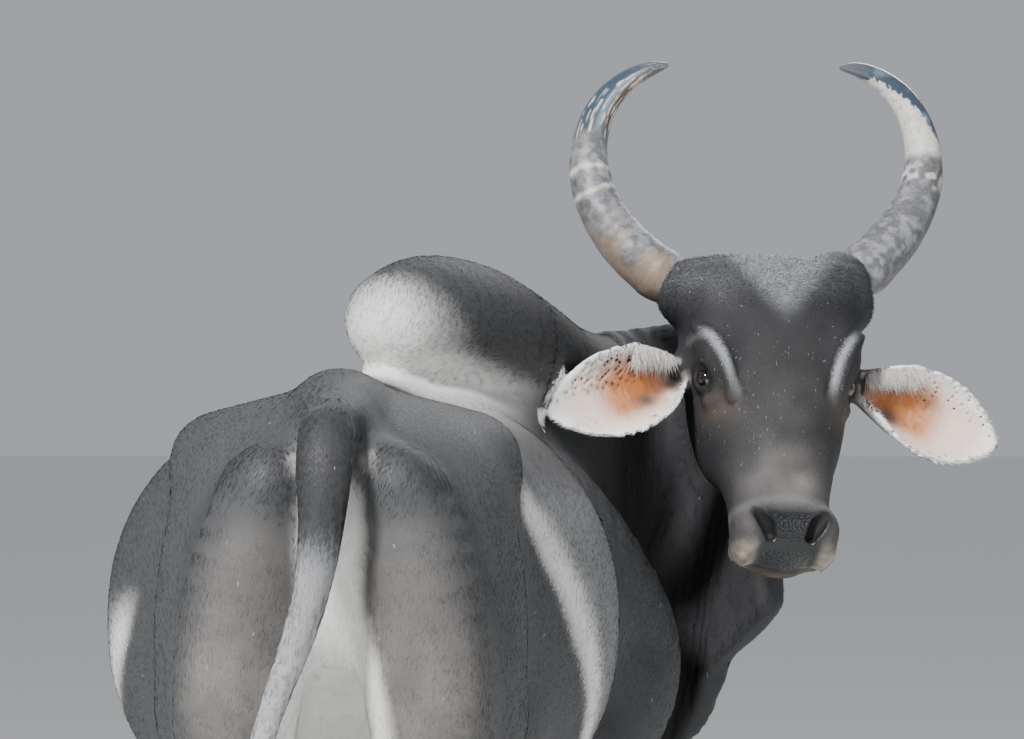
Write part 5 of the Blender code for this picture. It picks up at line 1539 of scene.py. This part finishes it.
def coat_tree(tuft, material):
    """A node tree that puts a tuft on each point, turned, sized and tinted by the point's attributes."""
    tree = bpy.data.node_groups.new("Coat", "GeometryNodeTree")
    tree.interface.new_socket("Geometry", in_out="INPUT", socket_type="NodeSocketGeometry")
    size = tree.interface.new_socket("Tuft size", in_out="INPUT", socket_type="NodeSocketFloat")
    patch_size = tree.interface.new_socket("Patch size", in_out="INPUT", socket_type="NodeSocketFloat")
    tree.interface.new_socket("Geometry", in_out="OUTPUT", socket_type="NodeSocketGeometry")
    given = add_node(tree, "NodeGroupInput")
    shape = add_node(tree, "GeometryNodeObjectInfo", {"Object": tuft})
    turn = add_node(tree, "GeometryNodeInputNamedAttribute", {"data_type": "FLOAT_VECTOR", "Name": "turn"})
    euler = add_node(tree, "FunctionNodeEulerToRotation", {}, {"Euler": turn.outputs["Attribute"]})
    own_size = add_node(tree, "GeometryNodeInputNamedAttribute",
                        {"data_type": "FLOAT_VECTOR", "Name": "size"})
    scaled = add_node(tree, "ShaderNodeVectorMath", {"operation": "SCALE"},
                      {"Vector": own_size.outputs["Attribute"], "Scale": given.outputs["Tuft size"]})
    placed = add_node(tree, "GeometryNodeInstanceOnPoints", {},
                      {"Points": given.outputs["Geometry"], "Instance": shape.outputs["Geometry"],
                       "Rotation": euler.outputs["Rotation"], "Scale": scaled.outputs["Vector"]})
    real = add_node(tree, "GeometryNodeRealizeInstances", {}, {"Geometry": placed.outputs["Instances"]})
    patch = add_node(tree, "GeometryNodeInputNamedAttribute",
                     {"data_type": "FLOAT_VECTOR", "Name": "patch"})
    root = add_node(tree, "GeometryNodeInputNamedAttribute",
                    {"data_type": "FLOAT_VECTOR", "Name": "root_place"})
    small = add_node(tree, "ShaderNodeVectorMath", {"operation": "SCALE"},
                     {"Vector": patch.outputs["Attribute"], "Scale": given.outputs["Patch size"]})
    place = add_node(tree, "ShaderNodeVectorMath", {"operation": "ADD"},
                     {0: root.outputs["Attribute"], 1: small.outputs["Vector"]})
    mapped = add_node(tree, "GeometryNodeStoreNamedAttribute",
                      {"data_type": "FLOAT2", "domain": "CORNER", "Name": "OFBake"},
                      {"Geometry": real.outputs["Geometry"], "Value": place.outputs["Vector"]})
    covered = add_node(tree, "GeometryNodeSetMaterial", {"Material": material},
                       {"Geometry": mapped.outputs["Geometry"]})
    add_node(tree, "NodeGroupOutput", {}, {"Geometry": covered.outputs["Geometry"]})
    return tree, size.identifier, patch_size.identifier


def grown(name, roots, tree, inputs):
    """Runs the coat's tree on root points and keeps the result as a plain mesh piece."""
    start = bpy.data.meshes.new(name)
    start.from_pydata(to_row(roots["place"]).tolist(), [], [])
    for key, kind in (("turn", "FLOAT_VECTOR"), ("size", "FLOAT_VECTOR"), ("root_place", "FLOAT_VECTOR"),
                      ("tint", "FLOAT_COLOR")):
        store(start, key, kind, "POINT", roots[key])
    carrier = bpy.data.objects.new(name, start)
    bpy.context.scene.collection.objects.link(carrier)
    change = carrier.modifiers.new("Coat", "NODES")
    change.node_group = tree
    for identifier, value in inputs.items():
        change[identifier] = value
    bpy.context.view_layer.update()
    mesh = bpy.data.meshes.new_from_object(carrier.evaluated_get(bpy.context.evaluated_depsgraph_get()))
    bpy.data.objects.remove(carrier)
    mesh.shade_smooth()
    mesh.normals_split_custom_set_from_vertices(np.repeat(roots["normal"], 4, axis=0).tolist())
    for key in ("turn", "size", "root_place", "patch"):
        if key in mesh.attributes:
            mesh.attributes.remove(mesh.attributes[key])
    piece = bpy.data.objects.new(name, mesh)
    bpy.context.scene.collection.objects.link(piece)
    return piece


def roots_of(name, points, faces, normals, draw):
    """Root points of one region's coat, with all that its tufts need."""
    count, length, width, thick, lift = COATS[name]
    count = count
    place, which, (u, v) = spread_roots(points, faces, count, draw)
    corner = normals[faces[which]]
    normal = corner[:, 0] + u[:, None] * (corner[:, 1] - corner[:, 0])
    normal += v[:, None] * (corner[:, 2] - corner[:, 0])
    normal /= np.maximum(np.linalg.norm(normal, axis=1), 1e-6)[:, None]
    lie = laid(lie_of(name, place), normal)
    curly = curl_share(name, place)
    veer = 50.0 * (noise(place, 0.05) - 0.5) + (34.0 + 250.0 * curly) * (draw.random(count) - 0.5)
    veer = np.radians(veer)[:, None]
    lie = np.cos(veer) * lie + np.sin(veer) * np.cross(normal, lie)
    bare = bareness(name, place)
    a, b, c = (points[faces[which, i]] for i in range(3))
    flat = unit(np.cross(b - a, c - a) + 1e-12)
    kept = (draw.random(count) > bare) & (np.sum(flat * normal, axis=1) > 0.6)
    long = length * draw.uniform(0.70, 1.25, count) * longer(name, place)
    size = np.column_stack([width * draw.uniform(0.8, 1.2, count), long, np.full(count, thick)])
    stand = lift * draw.uniform(0.5, 1.5, count) * (1.0 + 4.0 * curly)
    shade = draw.uniform(0.90, 1.10, count) * (1.0 + 0.5 * curly * draw.random(count))
    tint = markings(place) * shade[:, None]
    flecked = draw.random(count) < fleck_share(name, place)
    tint[flecked] = 0.65 * tint[flecked] + 0.35 * HIDE["silver"]
    spot = unwrap(name, place).clip(0.004, 0.992)
    roots = {
        "place": place - normal * (0.0006 + 0.15 * thick),
        "normal": normal,
        "turn": turns_of(lie, normal, stand),
        "size": size,
        "root_place": np.column_stack([spot, np.zeros(count)]),
        "tint": np.clip(tint, 0.0, 1.0),
    }
    return {key: value[kept] for key, value in roots.items()}


def bareness(name, p):
    """How bare the skin is, from 0 to 1: the wet pad, the eyes and the nostrils' insides have no hair."""
    if name != "head":
        return np.zeros(len(p))
    q = to_head(p)
    m = mirrored(q)
    gap = np.linalg.norm(m - EYE_PLACE, axis=1)
    nostril, _ = off_line(m[:, :2], NOSTRIL_LINE)
    mouth = blob(q, (0.0, 0.568, -0.082), (0.10, 0.02, 0.012)) > 0.5
    hole = (nostril < 0.018) * (q[:, 2] > -0.06)
    return np.clip(1.6 * wet_share(q) + ramp(gap, 0.038, 0.034) + hole + mouth, 0.0, 1.0)


def longer(name, p):
    """How much longer the hair is than the region's own length."""
    if name == "head":
        q = to_head(p)
        poll = ramp(q[:, 1], 0.16, 0.04)
        face = ramp(q[:, 1], 0.30, 0.48)
        return 1.0 + 0.05 * poll - 0.25 * face
    return np.ones(len(p))


def curl_share(name, p):
    """How curly the hair is: the poll's is felted into small curls."""
    if name != "head":
        return np.zeros(len(p))
    return ramp(to_head(p)[:, 1], 0.13, 0.07)


def fleck_share(name, p):
    """The share of tufts that are silver flecks among dark ones."""
    if name != "head":
        return np.full(len(p), 0.002)
    q = to_head(p)
    return 0.030 * ramp(q[:, 1], 0.12, 0.20) * ramp(q[:, 1], 0.42, 0.34) + 0.004


def make_coat(points, faces):
    """A piece of coat for each region of the skin."""
    normals = body_normals(points, faces)
    middles = points[faces].mean(axis=1)
    names = region_of(middles)
    tuft = bpy.data.objects.new("Tuft", tuft_mesh())
    bpy.context.scene.collection.objects.link(tuft)
    tree, size, patch_size = coat_tree(tuft, hair_material())
    draw = np.random.default_rng(5)
    for name in COATS:
        roots = roots_of(name, points, faces[names == name], normals, draw)
        piece = grown(f"coat_{name}", roots, tree, {size: 1.0, patch_size: TUFT_PATCH})
        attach(piece, "root")
    bpy.data.objects.remove(tuft)


# Strands: lashes, ear hair and the switch

def strand_faces(count, rings):
    """Faces of three-sided strands: a root cap, the sides between the rings and a pointed tip."""
    size = 3 * rings + 1
    faces = [(0, 2, 1)]
    for ring in range(rings - 1):
        for i in range(3):
            a, b = 3 * ring + i, 3 * ring + (i + 1) % 3
            faces += [(a, b, b + 3), (a, b + 3, a + 3)]
    last = 3 * (rings - 1)
    faces += [(last + i, last + (i + 1) % 3, size - 1) for i in range(3)]
    return (np.arange(count)[:, None, None] * size + np.array(faces)).reshape(-1, 3)


def volume_of(points, faces):
    a, b, c = (points[faces[:, i]] for i in range(3))
    return np.sum(a * np.cross(b, c)) / 6.0


def strands(name, paths, wide, thick, facing, tint, spots):
    """Tapered strands along paths of points, flat across the way that each faces, as one piece of coat."""
    count, rings = paths.shape[0], paths.shape[1] - 1
    along = np.gradient(paths, axis=1)[:, :-1]
    along /= np.linalg.norm(along, axis=2)[:, :, None]
    across = np.cross(along, facing[:, None, :])
    across /= np.maximum(np.linalg.norm(across, axis=2), 1e-6)[:, :, None]
    out = np.cross(across, along)
    share = np.arange(rings) / rings
    body = (0.55 + 0.45 * np.sin(math.pi * np.minimum(1.0, 0.25 + share))) * (1.0 - 0.55 * share)
    half = wide[:, None] / 2 * body
    deep = thick[:, None] / 2 * body
    corners = [paths[:, :-1] + x * half[:, :, None] * across + y * deep[:, :, None] * out
               for x, y in ((-1.0, -0.5), (1.0, -0.5), (0.0, 1.0))]
    points = np.stack(corners, axis=2).reshape(count, -1, 3)
    points = np.concatenate([points, paths[:, -1:]], axis=1)
    size = points.shape[1]
    points = points.reshape(-1, 3)
    faces = strand_faces(count, rings)
    if volume_of(points, faces) < 0:
        faces = faces[:, ::-1]
    piece = mesh_piece(name, points, faces)
    store(piece.data, "tint", "FLOAT_COLOR", "POINT", np.repeat(tint, size, axis=0).clip(0.0, 1.0))
    layer = piece.data.uv_layers.new(name="OFBake")
    within = np.tile(np.column_stack([(np.arange(size) % 3) / 2.0, np.arange(size) / size]), (count, 1))
    places = np.repeat(spots, size, axis=0) + TUFT_PATCH * within
    layer.data.foreach_set("uv", places[faces.ravel()].astype(np.float32).ravel())
    paint(piece, hair_material(f"{name} hair", 0.38))
    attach(piece, "root")
    return piece


def arcs(roots, first, last, lengths, count=6):
    """Paths that leave their roots one way and bend to another."""
    shares = np.linspace(0.0, 1.0, count)
    steps = first[:, None, :] * (1.0 - shares)[None, :, None] + last[:, None, :] * shares[None, :, None]
    steps /= np.linalg.norm(steps, axis=2)[:, :, None]
    gone = np.cumsum(steps[:, :-1], axis=1) * (lengths / (count - 1))[:, None, None]
    return np.concatenate([roots[:, None], roots[:, None] + gone], axis=1)


def unit(v):
    return v / np.linalg.norm(v, axis=-1, keepdims=True)


def make_lashes():
    """Dark lashes along both upper lids."""
    draw = np.random.default_rng(21)
    roots, first, last, facing = [], [], [], []
    for side in (-1, 1):
        for i in range(110):
            around = draw.uniform(195.0, 345.0)
            corner = abs(math.cos(math.radians(around)))
            root = eye_point(EYE_RADIUS + 0.0055, 54.0 + 12.0 * corner, around)
            out = unit(root - EYE_PLACE)
            look_way = eye_frame()[0]
            mirror = np.array((side, 1.0, 1.0))
            roots.append(from_head(root * mirror))
            first.append((unit(out + 0.9 * look_way + 0.12 * draw.normal(size=3)) * mirror) @ HEAD_AXES)
            last.append((unit(0.9 * out + 0.3 * look_way + 0.2 * draw.normal(size=3)) * mirror) @ HEAD_AXES)
            facing.append((out * mirror) @ HEAD_AXES)
    roots, first, last, facing = (np.array(part) for part in (roots, first, last, facing))
    count = len(roots)
    lengths = draw.uniform(0.009, 0.017, count)
    spots = unwrap("head", roots).clip(0.004, 0.992)
    strands("lashes", arcs(roots, first, last, lengths), np.full(count, 0.0008), np.full(count, 0.0006),
            facing, np.tile(HIDE["black"], (count, 1)), spots)


def make_ear_hair():
    """Long pale hair inside each ear, from its upper edge near the root and along both rims."""
    draw = np.random.default_rng(22)
    for side, hand in ((-1, "right"), (1, "left")):
        root, along, cup, down = ear_frame(side)
        count = 1500
        tuft = draw.random(count) < 0.5
        share = np.where(tuft, draw.uniform(0.07, 0.34, count), draw.uniform(0.12, 0.97, count))
        rim = np.where(draw.random(count) < 0.5, -1.0, 1.0)
        across = np.where(tuft, draw.uniform(0.62, 1.0, count), rim * draw.uniform(0.86, 1.0, count))
        places = np.array([ear_spot(side, s, a) for s, a in zip(share, across)])
        inward = -np.sign(across)[:, None] * -down
        stray = 0.22 * draw.normal(size=(count, 3))
        hanging = tuft[:, None]
        first = unit(np.where(hanging, 0.5 * (along + cup - inward), along - 0.5 * inward) + stray)
        last = unit(np.where(hanging, 0.9 * along + 0.15 * cup - 0.75 * down, along - 0.2 * inward) + stray)
        lengths = np.where(tuft, draw.uniform(0.028, 0.052, count), draw.uniform(0.010, 0.018, count))
        tint = HIDE["white"] * draw.uniform(0.75, 1.05, count)[:, None]
        roots = from_head(places)
        spots = unwrap("ears", roots).clip(0.004, 0.992)
        facing = np.tile(cup @ HEAD_AXES, (count, 1))
        strands(f"ear_hair_{hand}", arcs(roots, first @ HEAD_AXES, last @ HEAD_AXES, lengths),
                draw.uniform(0.0006, 0.0010, count), np.full(count, 0.0004), facing, tint, spots)


def ear_spot(side, share, across):
    """A head point on the ear's sheet. The inverse of ear_place."""
    root, along, cup, down = ear_frame(side)
    half = float(smooth_curve(np.array([share]), *zip(*EAR_HALF_WIDTHS))[0])
    curl = math.radians((125.0 if across < 0 else 78.0) * (1.0 - share) ** 1.2 + 22.0)
    radius = half / curl
    angle = across * curl
    return (root + along * (EAR_LENGTHS[side] * share) + down * (radius * math.sin(angle) + 0.030 * share**2)
            + cup * (radius * (1.0 - math.cos(angle)) - 0.014))


def make_switch():
    """The switch of the tail as long fine locks in the envelope of the part's."""
    draw = np.random.default_rng(23)
    count = 520
    end = np.array(TAIL_ROWS[-1][:3])
    turn = np.arange(count) * math.radians(137.5)
    out = np.column_stack([np.cos(turn), np.sin(turn), np.zeros(count)])
    drop = draw.uniform(0.0, 0.16, count)
    roots = np.column_stack([np.full(count, end[0]), np.full(count, end[1]), TAIL_BONE_END + 0.028 - drop])
    roots += out * (0.011 - 0.03 * drop)[:, None]
    lengths = draw.uniform(0.16, 0.335, count) - 0.6 * drop
    lengths = np.minimum(lengths, roots[:, 2] - (TAIL_BONE_END + 0.035 - 0.355))
    shares = np.linspace(0.0, 1.0, 9)
    spread = 0.013 * np.sin(math.pi * 0.5 * np.minimum(1.0, shares * 1.6)) - 0.014 * shares
    wave = 0.0025 * np.sin(shares * 9.0 + turn[:, None]) * shares
    paths = roots[:, None] + out[:, None] * (spread + wave)[:, :, None]
    paths[:, :, 2] -= lengths[:, None] * shares
    tint = HIDE["black"] * draw.uniform(0.8, 2.2, count)[:, None]
    spots = unwrap("tail", roots).clip(0.004, 0.992)
    piece = strands("switch", paths, draw.uniform(0.0030, 0.0060, count), np.full(count, 0.0016), out, tint,
                    spots)
    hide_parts("tail_switch")


# Horns, eyes and hooves

def tube(centres, radii, across, over_way, around):
    """Points and faces of a closed tube through rings, with a pole at each end."""
    rings = len(centres)
    angle = math.tau * np.arange(around) / around
    spin = np.cos(angle)[None, :, None] * across[:, None] + np.sin(angle)[None, :, None] * over_way[:, None]
    points = (centres[:, None] + radii[:, :, None] * spin).reshape(-1, 3)
    ring = np.arange(rings - 1)[:, None] * around
    here, onward = np.arange(around)[None, :], (np.arange(around) + 1) % around
    quads = np.stack([ring + here, ring + onward, ring + around + onward, ring + around + here], axis=2)
    quads = quads.reshape(-1, 4)
    low, high = len(points), len(points) + 1
    points = np.vstack([points, centres[:1], centres[-1:]])
    faces = np.vstack([quads[:, [0, 1, 2]], quads[:, [0, 2, 3]]])
    last = (rings - 1) * around
    caps = [np.column_stack([np.full(around, low), onward, here[0]]),
            np.column_stack([np.full(around, high), last + here[0], last + onward])]
    faces = np.vstack([faces, *caps])
    if volume_of(points, faces) < 0:
        faces = faces[:, ::-1]
    return points, faces


def horn_rows(side):
    """Points and radii along one horn in the head's axes: out, up and in again as a lyre."""
    out, rise, first, whole, late = HORN_CURVES[side]
    turn = math.radians(first)
    rows = [(side * (out - 0.042 * math.cos(turn)), -(rise - 0.042 * math.sin(turn)), -0.128, 0.037)]
    steps = 22
    for step in range(steps + 1):
        share = step / steps
        radius = 0.0445 * (1.0 - share) ** 0.58 + 0.004
        depth = -0.135 + 0.010 * share - 0.014 * math.sin(math.pi * share)
        rows.append((side * out, -rise, depth, radius))
        turn = math.radians(first + whole * share**late)
        out += HORN_LENGTH / steps * math.cos(turn)
        rise += HORN_LENGTH / steps * math.sin(turn)
    return rows


HORN = {name: linear(code) for name, code in {
    "grey": "#57585c",
    "pearl": "#88888c",
    "flake": "#bcb7ae",
    "steel": "#36424f",
    # A pale blue-grey, laid on in part as painted sheen
    "blue_grey_and_sheen": "#8b98a6",
    "tan": "#7b6857",
    "bark": "#3d3833",
}.items()}


# How far out the left horn's pale flaking reaches: share of the horn, and place from outer to inner side
FLAKE_EDGE = ((0.50, -1.3), (0.56, -0.75), (0.62, -0.15), (0.70, 0.20), (0.80, 0.50), (0.88, 0.72),
              (0.92, 1.3))


def horn_over(base, name, share):
    return base + np.clip(share, 0.0, 1.0)[:, None] * (HORN[name] - base)


def horn_colours(side, share, inner, front, p):
    """Worn horn: chalky grey below, steel-dark and polished above, flaking between."""
    fine, patch, broad = noise(p, 0.0032), noise(p, 0.011), noise(p, 0.028)
    streak = noise(np.column_stack([share * 0.09, inner * 0.040, front * 0.040]), 0.0045)
    colour = np.tile(HORN["grey"], (len(p), 1))
    colour = horn_over(colour, "pearl", 0.8 * ramp(patch + 0.4 * fine, 0.45, 0.95) * ramp(share, 0.62, 0.50))
    # Painted shade: darker along the outer side of the horn's lower half
    colour = horn_over(colour, "bark", 0.55 * ramp(inner, -0.45, -0.95) * ramp(share, 0.60, 0.40))
    rings = 0.5 + 0.5 * np.sin(share * 150.0 + 5.0 * broad)
    colour = horn_over(colour, "bark", 0.16 * rings * ramp(share, 0.55, 0.30))
    if side < 0:
        base = ramp(broad - 0.35 * inner, 0.35, 0.80) * ramp(share, 0.34, 0.12)
        colour = horn_over(colour, "tan", 0.75 * base)
        outer = ramp(streak, 0.45, 0.7) * ramp(share, 0.44, 0.50) * ramp(inner, 0.3, -0.2)
        colour = horn_over(colour, "tan", 0.45 * outer)
        for place in (0.375, 0.455):
            band = np.exp(-((share - place - 0.015 * (broad - 0.5)) / 0.010) ** 2)
            colour = horn_over(colour, "flake", 0.75 * band * (0.5 + patch))
        dark = ramp(share + 0.10 * (streak - 0.5), 0.575, 0.615)
        strip = ramp(inner + 0.35 * (patch - 0.5), 0.30, 0.50)
        colour = horn_over(colour, "steel", dark)
        # Painted highlight: a broad pale blue-grey sheen along the middle of the dark polished part
        colour = horn_over(colour, "blue_grey_and_sheen", 0.65 * dark * np.exp(-((inner - 0.10) / 0.22) ** 2))
        colour = horn_over(colour, "flake", 0.85 * dark * ramp(streak, 0.70, 0.80))
        colour = horn_over(colour, "tan", dark * strip)
        colour = horn_over(colour, "flake", dark * strip * ramp(streak, 0.48, 0.60))
        colour = horn_over(colour, "bark", dark * strip * ramp(streak, 0.40, 0.32))
        tip = ramp(share + 0.05 * (patch - 0.5), 0.86, 0.92)
        colour = horn_over(colour, "grey", 0.8 * tip)
        colour = horn_over(colour, "bark", 0.5 * tip * ramp(fine, 0.50, 0.35))
        polish = dark * (1.0 - strip) * (1.0 - 0.6 * tip)
    else:
        limit = np.interp(share, *zip(*FLAKE_EDGE))
        dark = ramp(share, 0.49, 0.53)
        flaky = ramp(inner - limit + 0.9 * (patch - 0.5) + 0.4 * (fine - 0.5), -0.06, 0.06)
        colour = horn_over(colour, "steel", dark)
        colour = horn_over(colour, "blue_grey_and_sheen", 0.35 * dark * ramp(broad, 0.5, 0.8))
        colour = horn_over(colour, "flake", dark * flaky)
        colour = horn_over(colour, "blue_grey_and_sheen", 0.7 * dark * flaky * ramp(fine + 0.5 * patch, 0.62, 0.45))
        spot = np.exp(-((share - 0.43) / 0.035) ** 2) * ramp(patch, 0.40, 0.62)
        colour = horn_over(colour, "flake", 0.9 * spot)
        band = np.exp(-((share - 0.47) / 0.022) ** 2) * ramp(inner, 0.1, -0.5)
        colour = horn_over(colour, "bark", 0.6 * band)
        tip = ramp(share, 0.86, 0.96)
        colour = horn_over(colour, "grey", 0.75 * tip)
        polish = dark * (1.0 - flaky)
    colour = colour * (0.86 + 0.28 * fine)[:, None]
    return colour, polish


def horn_material():
    """Horn keratin: chalky where worn, polished where dark, with fine ridges."""
    material, tree, shader = new_material("Horn")
    tint = add_node(tree, "ShaderNodeAttribute", {"attribute_name": "tint"})
    polish = add_node(tree, "ShaderNodeAttribute", {"attribute_name": "polish"})
    where = add_node(tree, "ShaderNodeTexCoord")
    grain = add_node(tree, "ShaderNodeTexNoise", {"Scale": 330.0, "Detail": 4.0, "Roughness": 0.65},
                     {"Vector": where.outputs["Object"]})
    rough = add_node(tree, "ShaderNodeMapRange", {"To Min": 0.50, "To Max": 0.20},
                     {"Value": polish.outputs["Fac"]})
    height = add_node(tree, "ShaderNodeMapRange", {"To Min": 0.45, "To Max": 0.06},
                      {"Value": polish.outputs["Fac"]})
    bump = add_node(tree, "ShaderNodeBump", {"Distance": 0.0012},
                    {"Height": grain.outputs["Fac"], "Strength": height.outputs["Result"]})
    for socket, source in (("Base Color", tint.outputs["Color"]), ("Roughness", rough.outputs["Result"]),
                           ("Normal", bump.outputs["Normal"])):
        tree.links.new(source, shader.inputs[socket])
    return material


def make_horns():
    keratin = horn_material()
    for side, hand in ((-1, "right"), (1, "left")):
        rows = through(horn_rows(side), 14)
        around = 80
        along = unit(np.gradient(rows[:, :3], axis=0))
        front = np.array((0.0, 0.0, 1.0)) - along * along[:, 2:3]
        front = unit(front)
        inward = np.cross(front, along)
        bend_way = np.array((-side, 0.0, 0.0))
        inward *= np.sign(np.sum(inward * bend_way, axis=1).sum())
        steps = np.concatenate([[0.0], np.cumsum(np.linalg.norm(np.diff(rows[:, :3], axis=0), axis=1))])
        share = ((steps - 0.042) / HORN_LENGTH).clip(0.0, 1.0)
        angle = math.tau * np.arange(around) / around
        grid_share = np.repeat(share, around)
        inner, ahead = np.tile(np.cos(angle), len(rows)), np.tile(np.sin(angle), len(rows))
        rough_place = np.column_stack([grid_share * 0.5, inner * 0.04, ahead * 0.04])
        ridges = 0.0009 * (noise(rough_place * (1.0, 0.25, 0.25), 0.0075) - 0.5)
        ridges *= ramp(grid_share, 0.60, 0.25)
        waves = 0.0014 * (noise(rough_place, 0.020) - 0.5)
        radii = rows[:, 3:4] + (ridges + waves).reshape(len(rows), around) * ramp(share, 1.0, 0.9)[:, None]
        points, faces = tube(rows[:, :3], radii, inward, front, around)
        world = from_head(points)
        if np.linalg.det(HEAD_AXES) < 0:
            faces = faces[:, ::-1]
        piece = mesh_piece(f"horn_{hand}_surface", world, faces)
        end_share = np.concatenate([grid_share, [0.0, 1.0]])
        inner, ahead = np.concatenate([inner, [0.0, 0.0]]), np.concatenate([ahead, [0.0, 0.0]])
        colour, polish = horn_colours(side, end_share, inner, ahead, points)
        store(piece.data, "tint", "FLOAT_COLOR", "POINT", colour.clip(0.0, 1.0))
        store(piece.data, "polish", "FLOAT", "POINT", polish)
        paint(piece, keratin)
        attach(piece, "root")
        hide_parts(f"horn_{hand}")


def make_eyes():
    """Dark wet eyeballs with a brown iris and a long level pupil."""
    material, tree, shader = new_material("Wet eye")
    tint = add_node(tree, "ShaderNodeAttribute", {"attribute_name": "tint"})
    tree.links.new(tint.outputs["Color"], shader.inputs["Base Color"])
    shader.inputs["Roughness"].default_value = 0.06
    shader.inputs["Coat Weight"].default_value = 1.0
    shader.inputs["Coat Roughness"].default_value = 0.02
    look_way, ahead, under = eye_frame()
    for side, hand in ((-1, "right"), (1, "left")):
        rings, around = ((48, 64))
        polar = math.pi * (np.arange(rings) + 0.5) / rings
        centres = EYE_PLACE + EYE_RADIUS * np.cos(polar)[:, None] * look_way
        radii = np.tile((EYE_RADIUS * np.sin(polar))[:, None], (1, around))
        points, faces = tube(centres, radii, np.tile(ahead, (rings, 1)), np.tile(under, (rings, 1)), around)
        off = points - EYE_PLACE
        raised = EYE_RADIUS + 0.0007 * ramp(unit(off) @ look_way, 0.80, 0.95)
        points = EYE_PLACE + unit(off) * raised[:, None]
        off = unit(points - EYE_PLACE)
        facing, level, steep = off @ look_way, off @ ahead, off @ under
        iris = ramp(facing, 0.74, 0.80)
        pupil = ramp(np.hypot(level / 0.36, steep / 0.20), 1.05, 0.92) * (facing > 0)
        streaks = noise(np.column_stack([np.arctan2(steep, level), facing * 0.2, facing]) * 0.02, 0.0022)
        colour = np.tile(linear("#120f0e"), (len(points), 1))
        colour += iris[:, None] * (linear("#0d0806") * (0.7 + 0.8 * streaks)[:, None] - colour)
        colour += pupil[:, None] * (linear("#050506") - colour)
        mirror = np.array((side, 1.0, 1.0))
        if side * np.linalg.det(HEAD_AXES) < 0:
            faces = faces[:, ::-1]
        piece = mesh_piece(f"eyeball_{hand}", from_head(points * mirror), faces)
        store(piece.data, "tint", "FLOAT_COLOR", "POINT", colour.clip(0.0, 1.0))
        paint(piece, material)
        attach(piece, "root")
        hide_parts(f"eye_{hand}")


def finish_hooves():
    """The claws keep the part's solids, in dull dark horn with growth rings a few millimetres apart."""
    material, tree, shader = new_material("Hoof horn")
    where = add_node(tree, "ShaderNodeTexCoord")
    rings = add_node(tree, "ShaderNodeTexWave", {"bands_direction": "Z", "Scale": 38.0, "Distortion": 2.5,
                                                 "Detail": 2.0, "Detail Scale": 3.0},
                     {"Vector": where.outputs["Object"]})
    dust = add_node(tree, "ShaderNodeTexNoise", {"Scale": 45.0, "Detail": 4.0},
                    {"Vector": where.outputs["Object"]})
    shade = add_node(tree, "ShaderNodeMix", {"data_type": "RGBA"}, {0: dust.outputs["Fac"]})
    shade.inputs[6].default_value = (*linear("#1d1b1a"), 1.0)
    shade.inputs[7].default_value = (*linear("#4a443e"), 1.0)
    bump = add_node(tree, "ShaderNodeBump", {"Strength": 0.35, "Distance": 0.001},
                    {"Height": rings.outputs["Fac"]})
    tree.links.new(shade.outputs[2], shader.inputs["Base Color"])
    tree.links.new(bump.outputs["Normal"], shader.inputs["Normal"])
    shader.inputs["Roughness"].default_value = 0.55
    for name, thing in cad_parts.items():
        if name.startswith("claw_"):
            for slot in thing.material_slots:
                slot.material = material


make_camera()
make_light()
make_floor()
skin_points, skin_faces = make_skin()
skin_piece(skin_points, skin_faces)
make_coat(skin_points, skin_faces)
make_horns()
make_eyes()
make_lashes()
make_ear_hair()
make_switch()
finish_hooves()
